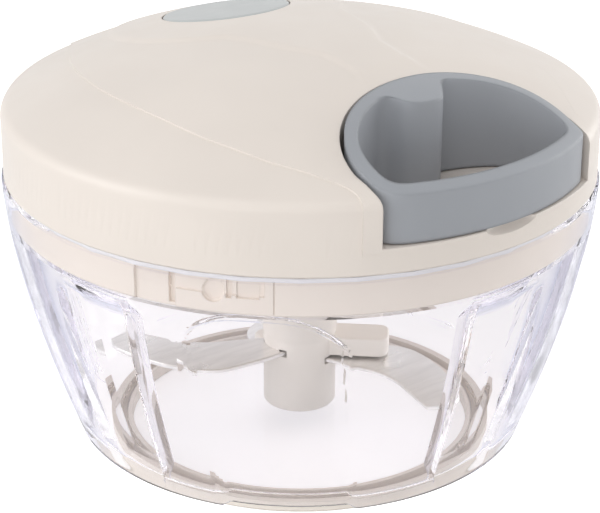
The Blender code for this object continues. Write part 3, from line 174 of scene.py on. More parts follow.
def join_by(kind, piece, others):
    """Cuts, fuses or crosses a piece with others, which are used up."""
    box = bpy.data.collections.new("tools")
    bpy.context.scene.collection.children.link(box)
    for other in others:
        box.objects.link(other)
    pick(piece)
    tool = piece.modifiers.new("carve", "BOOLEAN")
    tool.operation = kind
    tool.solver = "EXACT"
    if len(others) == 1:
        tool.object = others[0]
    else:
        tool.operand_type = "COLLECTION"
        tool.collection = box
    bpy.ops.object.modifier_apply(modifier=tool.name)
    for other in others:
        bpy.data.objects.remove(other, do_unlink=True)
    bpy.data.collections.remove(box)
    return piece


def carve(piece, *cutters):
    return join_by("DIFFERENCE", piece, cutters)


def fuse(piece, *additions):
    return join_by("UNION", piece, additions)


def break_edges(piece, width, segments=3, angle=40.0):
    pick(piece)
    tool = piece.modifiers.new("edges", "BEVEL")
    tool.width = width * MM
    tool.segments = segments
    tool.limit_method = "ANGLE"
    tool.angle_limit = math.radians(angle)
    tool.harden_normals = False
    bpy.ops.object.modifier_apply(modifier=tool.name)
    return piece


def smooth(piece, angle=35.0):
    pick(piece)
    bpy.ops.object.shade_smooth_by_angle(angle=math.radians(angle))
    return piece


def dress(piece, material, slot, body, *replaced):
    piece.data.materials.clear()
    piece.data.materials.append(material)
    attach(piece, body)
    if replaced:
        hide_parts(*replaced)
    return piece


# Plan drawing

def polar(radius, azimuth):
    turn = math.radians(azimuth)
    return radius * math.sin(turn), -radius * math.cos(turn)


def ease(low, high, value):
    share = min(1.0, max(0.0, (value - low) / (high - low)))
    return share * share * (3.0 - 2.0 * share)


def arc(centre, radius, start, end, steps):
    turns = [math.radians(start + (end - start) * i / steps) for i in range(steps + 1)]
    return [(centre[0] + radius * math.cos(t), centre[1] + radius * math.sin(t)) for t in turns]


def round_plan(centre, radius, sides):
    """A regular outline round a centre, without its first point again at the end."""
    return arc(centre, radius, 0.0, FULL_TURN - FULL_TURN / sides, sides - 1)


def rounded(before, corner, after, radius, steps=5):
    """The points of a rounded corner, which starts and ends at a distance from it."""
    corner = Vector(corner)
    start = corner + (Vector(before) - corner).normalized() * radius
    end = corner + (Vector(after) - corner).normalized() * radius
    points = []
    for i in range(steps + 1):
        t = i / steps
        points.append(tuple((1 - t) ** 2 * start + 2 * t * (1 - t) * corner + t * t * end))
    return points


def through(points, steps):
    """A smooth line through a few placed points."""
    spots = [Vector(p) for p in [points[0]] + list(points) + [points[-1]]]
    line = []
    for i in range(1, len(spots) - 2):
        a, b, c, d = spots[i - 1:i + 3]
        for k in range(steps):
            t = k / steps
            line.append(0.5 * (2 * b + (c - a) * t + (2 * a - 5 * b + 4 * c - d) * t ** 2
                               + (3 * b - a - 3 * c + d) * t ** 3))
    line.append(spots[-2])
    return [tuple(p) for p in line]


def mirrored(points):
    return [(-x, y) for x, y in reversed(points)]


# Finishes

NOISE_LOW = 0.3
NOISE_HIGH = 0.7
CLOUD_PATCHES = 38.0
GLOSS_PATCHES = 160.0
PEEL_PATCHES = 1500.0
STEEL_LINES = 420.0
STEEL_GLOSS_PATCHES = 90.0
BRAID_STRANDS = 900.0
BRAID_RELIEF = 0.12
CLEAR_ROUGHNESS = 0.02
CLEAR_INDEX = 1.05
CLEAR_COAT = 0.35
CLEAR_GLOSS_PATCHES = 60.0
CLEAR_WAVES = 90.0
CLEAR_WAVE_DEPTH = 0.02
# Tints from facing the eye, at 0, to edge on, at 1: the two ends first, then those between
CLEAR_TINTS = ((0.0, (0.950, 0.940, 0.958)), (1.0, (0.34, 0.38, 0.62)),
               (0.40, (0.975, 0.966, 0.974)), (0.60, (0.970, 0.962, 0.976)),
               (0.74, (0.84, 0.85, 0.93)))
CLEAR_BODY = (0.66, 0.63, 0.72)
CLEAR_DENSITY = 24.0


def shader_of(material):
    return material.node_tree.nodes["Principled BSDF"]


def finish(name, colour, roughness, metallic=0.0):
    """A plain shader with its own node tree, to which grain is added."""
    material = bpy.data.materials.new(name)
    material.use_nodes = True
    shader = shader_of(material)
    shader.inputs["Base Color"].default_value = (*colour, 1.0)
    shader.inputs["Roughness"].default_value = roughness
    shader.inputs["Metallic"].default_value = metallic
    return material


def wire(material, start, socket, end, plug):
    material.node_tree.links.new(start.outputs[socket], end.inputs[plug])


def grain(material, scale, stretch=(1.0, 1.0, 1.0), detail=3.0, turn=(0.0, 0.0, 0.0)):
    """A noise on the piece's own coordinates, in patches per metre."""
    tree = material.node_tree
    place = tree.nodes.new("ShaderNodeTexCoord")
    mapping = tree.nodes.new("ShaderNodeMapping")
    mapping.inputs["Scale"].default_value = stretch
    mapping.inputs["Rotation"].default_value = turn
    noise = tree.nodes.new("ShaderNodeTexNoise")
    noise.inputs["Scale"].default_value = scale
    noise.inputs["Detail"].default_value = detail
    wire(material, place, "Object", mapping, "Vector")
    wire(material, mapping, "Vector", noise, "Vector")
    return noise


def uneven_gloss(material, source, low, high):
    """Leads a noise to the shader's roughness, between two values."""
    reach = material.node_tree.nodes.new("ShaderNodeMapRange")
    reach.inputs["From Min"].default_value = NOISE_LOW
    reach.inputs["From Max"].default_value = NOISE_HIGH
    reach.inputs["To Min"].default_value = low
    reach.inputs["To Max"].default_value = high
    wire(material, source, "Fac", reach, "Value")
    wire(material, reach, "Result", shader_of(material), "Roughness")


def two_tones(material, source, first, second):
    """Leads a noise to the shader's colour, between two colours."""
    ramp = material.node_tree.nodes.new("ShaderNodeValToRGB")
    ramp.color_ramp.elements[0].position = NOISE_LOW
    ramp.color_ramp.elements[1].position = NOISE_HIGH
    ramp.color_ramp.elements[0].color = (*first, 1.0)
    ramp.color_ramp.elements[1].color = (*second, 1.0)
    wire(material, source, "Fac", ramp, "Fac")
    wire(material, ramp, "Color", shader_of(material), "Base Color")


def relief(material, source, depth, rounding=0.0):
    """Leads a noise to the surface's height, over edges softened by a small radius."""
    bump = material.node_tree.nodes.new("ShaderNodeBump")
    bump.inputs["Distance"].default_value = depth * MM
    wire(material, source, "Fac", bump, "Height")
    if rounding:
        edge = material.node_tree.nodes.new("ShaderNodeBevel")
        edge.inputs["Radius"].default_value = rounding * MM
        wire(material, edge, "Normal", bump, "Normal")
    wire(material, bump, "Normal", shader_of(material), "Normal")


def shade(colour, share):
    """A colour made lighter or darker by a share of itself."""
    return tuple(min(1.0, c * share) for c in colour)


def moulded(name, colour, roughness, texture=0.012, shift=0.02, rounding=0.3):
    """Moulded plastic: faint clouding, an uneven gloss and a fine orange peel."""
    material = finish(name, colour, roughness)
    cloud = grain(material, CLOUD_PATCHES, detail=2.0)
    two_tones(material, cloud, shade(colour, 1.0 - shift), shade(colour, 1.0 + shift))
    uneven_gloss(material, grain(material, GLOSS_PATCHES), roughness * 0.86, roughness * 1.16)
    relief(material, grain(material, PEEL_PATCHES, detail=1.5), texture, rounding)
    return material


def ground_steel(name, colour, roughness, stretch, texture=0.01):
    """Rolled strip: fine lines along the rolling direction and a patchy sheen."""
    material = finish(name, colour, roughness, 1.0)
    lines = grain(material, STEEL_LINES, stretch, detail=4.0)
    two_tones(material, lines, shade(colour, 0.93), shade(colour, 1.05))
    uneven_gloss(material, grain(material, STEEL_GLOSS_PATCHES), roughness * 0.8, roughness * 1.3)
    relief(material, lines, texture)
    return material


def clear_moulding(name):
    """Thin clear plastic that hardly bends the light, bluer where it is looked along."""
    material = finish(name, (1.0, 1.0, 1.0), CLEAR_ROUGHNESS)
    tree = material.node_tree
    shader = shader_of(material)
    output = tree.nodes["Material Output"]
    shader.inputs["Transmission Weight"].default_value = 1.0
    shader.inputs["IOR"].default_value = CLEAR_INDEX
    shader.inputs["Coat Weight"].default_value = CLEAR_COAT
    uneven_gloss(material, grain(material, CLEAR_GLOSS_PATCHES), 0.0, CLEAR_ROUGHNESS)
    relief(material, grain(material, CLEAR_WAVES, detail=1.0), CLEAR_WAVE_DEPTH)
    turning = tree.nodes.new("ShaderNodeLayerWeight")
    tint = tree.nodes.new("ShaderNodeValToRGB")
    stops = tint.color_ramp.elements
    for k, (place, colour) in enumerate(CLEAR_TINTS):
        stop = stops[k] if k < 2 else stops.new(place)
        stop.position = place
        stop.color = (*colour, 1.0)
    wire(material, turning, "Facing", tint, "Fac")
    wire(material, tint, "Color", shader, "Base Color")
    path = tree.nodes.new("ShaderNodeLightPath")
    passing = tree.nodes.new("ShaderNodeMath")
    passing.operation = "MAXIMUM"
    wire(material, path, "Is Shadow Ray", passing, 0)
    wire(material, path, "Is Diffuse Ray", passing, 1)
    open_air = tree.nodes.new("ShaderNodeBsdfTransparent")
    open_air.inputs["Color"].default_value = (1.0, 1.0, 1.0, 1.0)
    either = tree.nodes.new("ShaderNodeMixShader")
    wire(material, passing, "Value", either, 0)
    wire(material, shader, "BSDF", either, 1)
    wire(material, open_air, "BSDF", either, 2)
    wire(material, either, "Shader", output, "Surface")
    body = tree.nodes.new("ShaderNodeVolumeAbsorption")
    body.inputs["Color"].default_value = (*CLEAR_BODY, 1.0)
    body.inputs["Density"].default_value = CLEAR_DENSITY
    wire(material, body, "Volume", output, "Volume")
    return material


clear_plastic = clear_moulding("clear_plastic")
cream = moulded("cream_plastic", (0.823, 0.752, 0.690), 0.36)
collar_cream = moulded("collar_cream", (0.910, 0.830, 0.755), 0.42)
# The hub's cream is set lighter than the lid's cream: painted light that makes up for the shade
# inside the closed bowl.
hub_cream_with_painted_light = moulded("hub_cream_with_painted_light", (0.960, 0.915, 0.865), 0.45)
blue_grey = moulded("blue_grey_plastic", (0.352, 0.368, 0.397), 0.38, shift=0.03, rounding=0.9)
light_grey = moulded("light_grey_plastic", (0.530, 0.550, 0.550), 0.34)
# The foot ring's beige, partly its own colour and partly painted light: set lighter for the shade it
# sits in under the bowl.
soft_foot = moulded("soft_foot", (0.930, 0.865, 0.790), 0.62, texture=0.03)
seal_rubber = moulded("seal_rubber", (0.900, 0.890, 0.930), 0.55, texture=0.02)
nylon = moulded("nylon", (0.78, 0.78, 0.76), 0.45)
blade_steel = ground_steel("blade_steel", (0.86, 0.85, 0.84), 0.30, (0.25, 2.0, 1.0))
plain_steel = ground_steel("plain_steel", (0.60, 0.61, 0.62), 0.26, (1.0, 1.0, 0.15))
blued_strip = ground_steel("blued_strip", (0.30, 0.31, 0.34), 0.34, (1.0, 1.0, 0.2))


def braided(name):
    """Braided cord: slanting strands in two tones."""
    material = finish(name, (0.75, 0.73, 0.68), 0.8)
    strands = grain(material, BRAID_STRANDS, (1.0, 0.4, 1.0), detail=2.0, turn=(0.0, 0.0, 0.8))
    two_tones(material, strands, (0.62, 0.60, 0.55), (0.80, 0.78, 0.73))
    relief(material, strands, BRAID_RELIEF)
    return material


cord_finish = braided("cord_braid")


# Bowl

RIM = 62.5
RIM_HEIGHT = 61.0
HEEL = 48.9
HEEL_HEIGHT = 5.5
STEP_HEIGHT = 52.5
WALL_CURVE = 1.53
WALL = 2.2
BOWL_STEPS = 600
UNDERSIDE = 3.4
FLOOR = 5.4
RIB_INNER = 38.2
RIB_OUTER = 39.6
RIB_FOOT = 1.6
FLAT_FLOOR = 40.5
HEEL_CENTRE = 45.4
HEEL_WIDE = 3.5
HEEL_TALL = 2.1
INNER_CORNER = 4.0
INNER_CORNER_TOP = 9.4
FINE_ROWS_FROM = 43.0
FINE_ROWS_TO = 53.5
FINE_ROW = 0.35
RIM_BORE = 60.9
RIM_BEAD = 60.5
PIN_BOSS = 3.6
PIN_BOSS_TOP = 8.4
PIN_HOLE = 1.8
PIN_HOLE_FOOT = 3.9

FLUTES = (-82.0, 2.0, 98.0, 178.0)
FLUTE_HALF_ANGLE = 9.0
FLUTE_FLAT_SHARE = 0.82
FLUTE_DEPTH = 3.2
FLUTE_DEPTH_GAIN = 1.8
FLUTE_FADE = 8.0
FLUTE_FULL_HEIGHT = 9.5
PANELS = (-48.0, 48.0, 138.0, -132.0)
PANEL_HALF_ANGLE = 16.5
PANEL_FLAT_SHARE = 0.91
PANEL_DEPTH = 2.0
PANEL_LEAN = 6.0
ARCH_DROP = 7.5
ARCH_EDGE = 1.5

LUGS = 3
LUG_APART = FULL_TURN / LUGS
LUG_AZIMUTH = -66.8
LUG_HALF_ANGLE = 3.4
LUG_REACH = 0.9
LUG_LOW = 57.3
LUG_HIGH = 59.3


def wall_radius(height):
    drop = max(0.0, (RIM_HEIGHT - height) / (RIM_HEIGHT - HEEL_HEIGHT))
    return RIM - (RIM - HEEL) * drop ** WALL_CURVE


def turned_from(azimuth, place):
    """The angle from a place to an azimuth, the short way round."""
    half = FULL_TURN / 2.0
    return (azimuth - place + half) % FULL_TURN - half


def press(azimuth, height):
    """How deep the wall is pressed in at a place: narrow flutes and wide arched panels."""
    depth = 0.0
    for place in FLUTES:
        across = abs(turned_from(azimuth, place)) / FLUTE_HALF_ANGLE
        side = 1.0 - ease(FLUTE_FLAT_SHARE, 1.0, across)
        upper = 1.0 - ease(STEP_HEIGHT - FLUTE_FADE, STEP_HEIGHT, height)
        lower = ease(HEEL_HEIGHT, FLUTE_FULL_HEIGHT, height)
        full = FLUTE_DEPTH + FLUTE_DEPTH_GAIN * min(1.0, height / STEP_HEIGHT)
        depth = max(depth, full * side * upper * lower)
    for place in PANELS:
        centre = place + PANEL_LEAN * (1.0 - height / STEP_HEIGHT)
        across = abs(turned_from(azimuth, centre)) / PANEL_HALF_ANGLE
        side = 1.0 - ease(PANEL_FLAT_SHARE, 1.0, across)
        arch = STEP_HEIGHT - ARCH_DROP * min(1.0, across) ** 3
        upper = 1.0 - ease(arch - ARCH_EDGE, arch, height)
        depth = max(depth, PANEL_DEPTH * side * upper)
    return depth


def on_a_lug(azimuth, radius, height):
    """Whether a place on the rim's bore belongs to one of the lugs that hold the lid."""
    if abs(radius - RIM_BORE) >= 0.05 or not LUG_LOW < height < LUG_HIGH:
        return False
    nearest = min(abs(turned_from(azimuth, LUG_AZIMUTH + LUG_APART * k)) for k in range(LUGS))
    return nearest < LUG_HALF_ANGLE


def rows_between(low, high, step):
    """Evenly spaced heights from low up to high, without high itself."""
    count = round((high - low) / step)
    return [low + (high - low) * i / count for i in range(count)]


def make_bowl():
    """Turned with fine rows where the panels and flutes end, and then pressed in."""
    under = [(0.0, UNDERSIDE), (RIB_INNER, UNDERSIDE), (RIB_INNER, RIB_FOOT), (RIB_OUTER, RIB_FOOT),
             (RIB_OUTER, UNDERSIDE), (FLAT_FLOOR, UNDERSIDE)]
    for degrees in range(0, 90, 10):
        turn = math.radians(degrees)
        under.append((HEEL_CENTRE + HEEL_WIDE * math.sin(turn),
                      HEEL_HEIGHT - HEEL_TALL * math.cos(turn)))
    heights = rows_between(HEEL_HEIGHT, FINE_ROWS_FROM, 1.2)
    heights += rows_between(FINE_ROWS_FROM, FINE_ROWS_TO, FINE_ROW)
    heights += rows_between(FINE_ROWS_TO, RIM_BEAD, 1.4) + [RIM_BEAD]
    outside = [(wall_radius(z), z) for z in heights]
    rim = [(62.3, 60.9), (61.8, RIM_HEIGHT), (61.6, RIM_HEIGHT), (61.6, 59.8), (RIM_BORE, 59.8)]
    rim += [(RIM_BORE, edge + side) for edge in (LUG_HIGH, LUG_LOW) for side in (0.02, -0.02)]
    rim.append((RIM_BORE, STEP_HEIGHT))
    heights = rows_between(INNER_CORNER_TOP, FINE_ROWS_FROM, 1.3)
    heights += rows_between(FINE_ROWS_FROM, STEP_HEIGHT, FINE_ROW) + [STEP_HEIGHT]
    inside = [(wall_radius(z) - WALL, z) for z in reversed(heights)]
    corner = inside[-1][0] - INNER_CORNER
    for degrees in range(10, 91, 10):
        turn = math.radians(degrees)
        inside.append((corner + INNER_CORNER * math.cos(turn),
                       INNER_CORNER_TOP - INNER_CORNER * math.sin(turn)))
    floor = [(39.0, FLOOR), (PIN_BOSS, FLOOR), (PIN_BOSS, PIN_BOSS_TOP), (PIN_HOLE, PIN_BOSS_TOP),
             (PIN_HOLE, PIN_HOLE_FOOT), (0.0, PIN_HOLE_FOOT)]
    bowl = turned("clear_bowl", under + outside + rim + inside + floor, BOWL_STEPS, closed=False)
    for vertex in bowl.data.vertices:
        spot = vertex.co / MM
        radius = math.hypot(spot.x, spot.y)
        if radius < FLAT_FLOOR + 0.1:
            continue
        azimuth = math.degrees(math.atan2(spot.x, -spot.y))
        pressed = radius - press(azimuth, spot.z) * ease(FLAT_FLOOR, FLAT_FLOOR + 5.0, radius)
        if on_a_lug(azimuth, radius, spot.z):
            pressed -= LUG_REACH
        vertex.co.x *= pressed / radius
        vertex.co.y *= pressed / radius
    return smooth(bowl, 32.0)


dress(make_bowl(), clear_plastic, "clear_plastic", "bowl", "bowl")

FOOT_SECTION = ((41.6, 3.1), (41.6, 0.6), (41.2, 0.15), (40.7, 0.0), (37.8, 0.0), (37.3, 0.15),
                (36.9, 0.6), (36.9, 3.1), (37.9, 3.1), (37.9, 1.3), (39.9, 1.3), (39.9, 3.1))
foot = turned("soft_foot_ring", FOOT_SECTION, 180)
dress(smooth(foot), soft_foot, "soft_foot", "bowl", "foot_ring")


# Hub and blades

# A blade's name, azimuth and height, and its arm's length, height, edge radius and front side
BLADES = (("upper", -94.0, 19.3), ("middle", 45.0, 16.8), ("lower", 165.0, 11.0))
ARMS = {"upper": (15.5, 2.4, 1.1, 1.2), "middle": (19.5, 4.2, 0.45, 4.1),
        "lower": (17.0, 3.2, 0.9, 4.1)}
ARM_REAR = -4.1
ARM_CORNER = 2.6
ARM_OVER_BLADE = 0.95
HUB_SECTION = ((0.0, 58.0), (7.4, 58.0), (8.1, 57.4), (8.1, 22.6), (8.0, 22.2), (7.9, 21.7),
               (7.9, 21.4), (7.9, 6.0), (7.6, 5.6), (4.8, 5.6), (4.8, 8.9), (1.8, 8.9),
               (1.8, 19.3), (0.0, 19.3))
DOGS = 3
DOG_OUTER = 7.7
DOG_INNER = 3.3
DOG_HALF_ANGLE = 15.0
DOG_LOW = 56.0
DOG_HIGH = 61.8
SPIGOT_HOLE = 2.5
SPIGOT_HOLE_LOW = 55.6
SLOT_POST = 2.7
SLOT_BACK = 5.9
SLOT_MOUTH = 7.4
SLOT_LEFT = -5.2
SLOT_RIGHT = 4.3
SLOT_HALF_HEIGHT = 0.8
OVER_BLADES = 30.0

REACH = 42.5
BLADE_EYE = 3.0
BLADE_BACK = 5.6
BLADE_HALF_THICKNESS = 0.5
BLADE_EDGE = 0.22
TANG = 6.8
TANG_LEFT = -4.7
TANG_RIGHT = 3.8
TANG_ANGLE = 20.0
OUTER_EDGE_SHARES = ((0.33, 0.090), (0.55, 0.058), (0.70, -0.100), (0.79, -0.290),
                     (0.828, -0.460), (0.795, -0.560))
INNER_EDGE_SHARES = ((0.675, -0.590), (0.605, -0.475), (0.515, -0.325), (0.410, -0.230),
                     (0.290, -0.175))


def turn_flat(piece, azimuth):
    """Turns a piece that was drawn along X to an azimuth."""
    piece.rotation_euler.z = math.radians(azimuth - 90.0)
    pick(piece)
    bpy.ops.object.transform_apply(rotation=True)
    return piece


def make_hub():
    """A turned shaft with three arms and three dogs fused on, and a slot cut for each blade."""
    hub = turned("chopper_hub", HUB_SECTION, 96, closed=False)
    additions = []
    for name, azimuth, height in BLADES:
        length, tall, edge, front = ARMS[name]
        low = height + ARM_OVER_BLADE
        corners = [(0.0, ARM_REAR), (length, ARM_REAR), (length, front), (0.0, front)]
        outline = [corners[0]] + rounded(corners[0], corners[1], corners[2], ARM_CORNER)
        outline += rounded(corners[1], corners[2], corners[3], ARM_CORNER) + [corners[3]]
        arm = break_edges(cut_out(name + "_arm", outline, low, low + tall), edge, 4)
        additions.append(turn_flat(arm, azimuth))
    for k in range(DOGS):
        plan = arc((0.0, 0.0), DOG_OUTER, -DOG_HALF_ANGLE, DOG_HALF_ANGLE, 6)
        plan += arc((0.0, 0.0), DOG_INNER, DOG_HALF_ANGLE, -DOG_HALF_ANGLE, 6)
        dog = cut_out("dog", plan, DOG_LOW, DOG_HIGH)
        additions.append(turn_flat(dog, FULL_TURN / DOGS * k))
    fuse(hub, *additions)
    carve(hub, rod("spigot_hole", SPIGOT_HOLE, SPIGOT_HOLE_LOW, 64.0, 32))
    for name, azimuth, height in BLADES:
        plan = [(SLOT_MOUTH, SLOT_RIGHT)] + arc((0.0, 0.0), SLOT_BACK, 46.8, 300.0, 20)
        plan.append((SLOT_MOUTH, SLOT_LEFT))
        slot = cut_out("slot", plan, height - SLOT_HALF_HEIGHT, height + SLOT_HALF_HEIGHT)
        carve(slot, rod("post", SLOT_POST, 0.0, OVER_BLADES, 32))
        carve(hub, turn_flat(slot, azimuth))
    return smooth(hub, 38.0)


# The hub takes the lighter cream, whose extra brightness is painted light for the shade in the bowl.
dress(make_hub(), hub_cream_with_painted_light, "cream_plastic", "blades", "blade_hub")


def blade_outline():
    """A sickle from the tang out along its outer edge and back, closed round the pin's eye."""
    outer = [(TANG, TANG_RIGHT)] + [(REACH * x, REACH * y) for x, y in OUTER_EDGE_SHARES]
    inner = [(REACH * x, REACH * y) for x, y in INNER_EDGE_SHARES] + [(TANG, TANG_LEFT)]
    start = math.degrees(math.atan2(TANG_LEFT, TANG)) - TANG_ANGLE
    end = math.degrees(math.atan2(TANG_RIGHT, TANG)) + TANG_ANGLE - FULL_TURN
    return through(outer, 7) + through(inner, 7) + arc((0.0, 0.0), BLADE_BACK, start, end, 24)


for blade_name, blade_azimuth, blade_height in BLADES:
    blade = cut_out("blade_" + blade_name + "_ground", blade_outline(),
                    blade_height - BLADE_HALF_THICKNESS, blade_height + BLADE_HALF_THICKNESS)
    carve(blade, rod("eye", BLADE_EYE, 0.0, OVER_BLADES, 32))
    break_edges(blade, BLADE_EDGE, 1, 50.0)
    turn_flat(blade, blade_azimuth)
    dress(smooth(blade, 25.0), blade_steel, "blade_steel", "blades", "blade_" + blade_name)


# Lid

LID = 62.3
SKIRT_FOOT = 61.3
LEDGE = 66.6
DOME = 136.0
DOME_TOP = 90.8
DOME_CENTRE = DOME_TOP - DOME
DOME_CORNER = 1.7
CROWN_FROM = 77.6
CROWN_FULL = 79.4
ABOVE_LID = 95.0
OVAL = 2.1
DISC_PLACE = 25.0
HANDLE_MIDDLE = 50.0
HANDLE_REAR = 30.8
HALF_WIDTH = 26.4
HANDLE_WALL = 2.6
HANDLE_FRONT = 62.0
FRONT_CURVE = 56.0
POCKET_HALF_WIDTH = 27.3
POCKET_REAR = 30.1
POCKET_WALL = 1.6
CORD_LINE = (-2.0, 73.9)
LID_WALL = 2.0
BOSS = 6.0
BOSS_LOW = 73.0
INSIDE_TOP = 92.0
PAD = 15.2
PAD_DEPTH = 3.1
DISC_RECESS = 13.9
DISC_RECESS_DEPTH = 1.5
AXLE_HOLE = 3.3
AXLE_HOLE_TOP = 85.7
EYELET_HOLE = 2.7
SCREW_CIRCLE = 48.0
SCREW_AZIMUTHS = (50.0, 130.0, -130.0, -50.0)
SCREW_POST = 4.2
SCREW_PILOT = 1.7
PILOT_TOP = 76.4
SCOOP_SIZE = (6.6, 2.4, 1.8)


def dome_height(radius, rise=0.0):
    return DOME_CENTRE + math.sqrt((DOME + rise) ** 2 - radius ** 2)


def lid_side(inset, rows=26, turn_rows=8):
    """The lid's section from its top to its rounded corner, moved inwards by an inset."""
    side = LID - inset
    flat = side - DOME_CORNER
    points = [(flat * i / rows, dome_height(flat * i / rows, -inset)) for i in range(rows + 1)]
    corner = Vector((side, dome_height(side, -inset)))
    start, end = Vector(points[-1]), Vector((side, corner.y - DOME_CORNER))
    for i in range(1, turn_rows + 1):
        t = i / turn_rows
        points.append(tuple((1 - t) ** 2 * start + 2 * t * (1 - t) * corner + t * t * end))
    return points


def handle_back(half_width, rear, steps):
    """The full, slightly squared curve round the handle's rear, from left to right."""
    depth = HANDLE_MIDDLE - rear
    points = []
    for i in range(steps + 1):
        turn = math.pi * i / steps
        across, along = math.cos(turn), max(0.0, math.sin(turn))
        points.append((-half_width * math.copysign(abs(across) ** (2.0 / OVAL), across),
                       -(HANDLE_MIDDLE - depth * along ** (2.0 / OVAL))))
    return points


def pocket_plan(growth):
    """The pocket's plan, open past the lid's edge and grown all round."""
    half_width, front = POCKET_HALF_WIDTH + growth, -(LID + 3.0)
    return ([(-half_width, front)] + handle_back(half_width, POCKET_REAR - growth, 60)
            + [(half_width, front)])


def over_dome(name, plan, depth):
    """What lies over the lid lowered by a depth, inside a plan: cutting it leaves a low field."""
    field = cut_out(name, plan, 50.0, ABOVE_LID)
    lowered = lid_side(depth, 40) + [(LID - depth, 40.0), (0.0, 40.0)]
    return carve(field, turned("lowered", lowered, 192, closed=False))


def square_to_dome(piece):
    """Turns a piece, drawn round Z over the dome's centre, to the disc's place."""
    return placed(piece, Matrix.Translation((0.0, 0.0, DOME_CENTRE * MM))
                  @ Matrix.Rotation(-math.asin(DISC_PLACE / DOME), 4, "X"))


def on_dome(name, radius, deep, proud, steps=96):
    """A round block at the disc's place, from a depth in the dome to a height over it."""
    return square_to_dome(rod(name, radius, DOME - deep, DOME + proud, steps))


def screw_plans(radius, sides):
    """An outline of one size round each lid screw."""
    return [round_plan(polar(SCREW_CIRCLE, azimuth), radius, sides) for azimuth in SCREW_AZIMUTHS]


# The seam of the left cheek, from front to rear, and the raised neck's places and half widths
CHEEK_SEAM = [(-34.0, -61.5), (-31.6, -56.4), (-30.3, -53.0), (-30.6, -49.5), (-34.4, -42.0),
              (-37.7, -35.8), (-40.4, -28.0), (-42.6, -19.0), (-43.8, -2.5), (-42.5, 12.5),
              (-37.5, 28.0), (-29.8, 40.7), (-21.3, 52.4), (-16.0, 62.0)]
NECK = ((14.0, 17.5), (5.0, 15.5), (-8.3, 11.5), (-16.0, 7.5), (-23.6, 7.0), (-34.0, 8.5))
FIELD_RADIUS = 25.0
FIELD_EDGE = 0.8
NECK_EDGE = 0.9
CROWN_RISE = 0.48
CHEEK_DEPTH = 0.28
POCKET_DIP = 0.45
DIP_REACH = 1.3


def crown(x, y):
    """How far the dome is raised: a field about the disc, a neck, and a dip at the pocket."""
    reach = math.hypot(x, y - DISC_PLACE)
    rise = 1.0 - ease(FIELD_RADIUS - FIELD_EDGE, FIELD_RADIUS + FIELD_EDGE, reach)
    for (rear, rear_wide), (front, front_wide) in zip(NECK, NECK[1:]):
        if front <= y <= rear:
            wide = rear_wide + (front_wide - rear_wide) * (rear - y) / (rear - front)
            rise = max(rise, 1.0 - ease(wide - NECK_EDGE, wide + NECK_EDGE, abs(x)))
    across = abs(x) / POCKET_HALF_WIDTH
    along = max(0.0, y + HANDLE_MIDDLE) / (HANDLE_MIDDLE - POCKET_REAR)
    near = 1.0 - ease(1.0, DIP_REACH, (across ** OVAL + along ** OVAL) ** (1.0 / OVAL))
    return CROWN_RISE * rise * (1.0 - near) - POCKET_DIP * near


def make_lid():
    """The dome, raised and dipped, then hollowed round its walls, and cut for what it carries."""
    skirt = LID - CHEEK_DEPTH
    side = lid_side(0.0, 96, 8) + [
        (LID, LEDGE - 0.5), (LID - 0.1, LEDGE - 0.9), (skirt, LEDGE - 1.5),
        (skirt, SKIRT_FOOT + 0.3), (skirt - 0.3, SKIRT_FOOT), (0.0, SKIRT_FOOT)]
    lid = turned("lid_dome", side, 300, closed=False)
    for vertex in lid.data.vertices:
        fade = ease(CROWN_FROM, CROWN_FULL, vertex.co.z / MM)
        vertex.co.z += fade * crown(vertex.co.x / MM, vertex.co.y / MM) * MM
    seam = through(CHEEK_SEAM, 6)
    cheek = seam + [(-40.0, 75.0), (-75.0, 75.0), (-75.0, -75.0), (-42.0, -75.0)]
    inside = lid_side(LID_WALL, 10, 4) + [(LID - LID_WALL, 58.0), (0.0, 58.0)]
    hollow = turned("hollow", inside, 96, closed=False)
    keep = [cut_out("pocket_walls", pocket_plan(POCKET_WALL), LEDGE - LID_WALL, INSIDE_TOP),
            rod("boss", BOSS, BOSS_LOW, INSIDE_TOP, 48), on_dome("pad", PAD, PAD_DEPTH, 0.0, 64)]
    keep += [cut_out("post", plan, 57.0, INSIDE_TOP) for plan in screw_plans(SCREW_POST, 24)]
    carve(hollow, *keep)
    holes = [cut_out("pilot", plan, 57.0, PILOT_TOP) for plan in screw_plans(SCREW_PILOT, 16)]
    holes.append(rod("axle_hole", AXLE_HOLE, 70.0, AXLE_HOLE_TOP, 32))
    carve(lid, over_dome("left_cheek", cheek, CHEEK_DEPTH),
          over_dome("right_cheek", mirrored(cheek), CHEEK_DEPTH), hollow,
          along_cord("eyelet_hole", EYELET_HOLE, 28.0, 31.5),
          cut_out("pocket", pocket_plan(0.0), LEDGE, ABOVE_LID),
          on_dome("disc_recess", DISC_RECESS, DISC_RECESS_DEPTH, 3.0), make_scoop(), *holes)
    return smooth(lid, 30.0)


def make_scoop():
    """The finger scoop in the ledge's front edge."""
    put_down()
    bpy.ops.mesh.primitive_uv_sphere_add(segments=64, ring_count=32, radius=MM,
                                         location=(0, -LID * MM, LEDGE * MM))
    scoop = bpy.context.object
    scoop.scale = SCOOP_SIZE
    return named("scoop")


def along_cord(name, radius, start, end):
    """A cylinder on the cord's line, between two distances in front of the lid's axis."""
    side, height = CORD_LINE
    return placed(rod(name, radius, start, end, 24), Matrix.Translation((side * MM, 0.0, height * MM))
                  @ Matrix.Rotation(math.radians(90.0), 4, "X"))


dress(make_lid(), cream, "cream_plastic", "lid", "lid_shell")


# Radii, and heights over the dome
DISC_SECTION = ((0.0, -1.2), (13.6, -1.2), (13.6, -0.4), (13.3, -0.1), (12.9, 0.0), (12.0, 0.02),
                (0.0, 0.05))


def make_disc():
    section = [(radius, DOME + height) for radius, height in DISC_SECTION]
    return smooth(square_to_dome(turned("push_disc", section, 128, closed=False)), 40.0)


dress(make_disc(), light_grey, "light_grey_plastic", "lid", "disc_cap")


# Handle

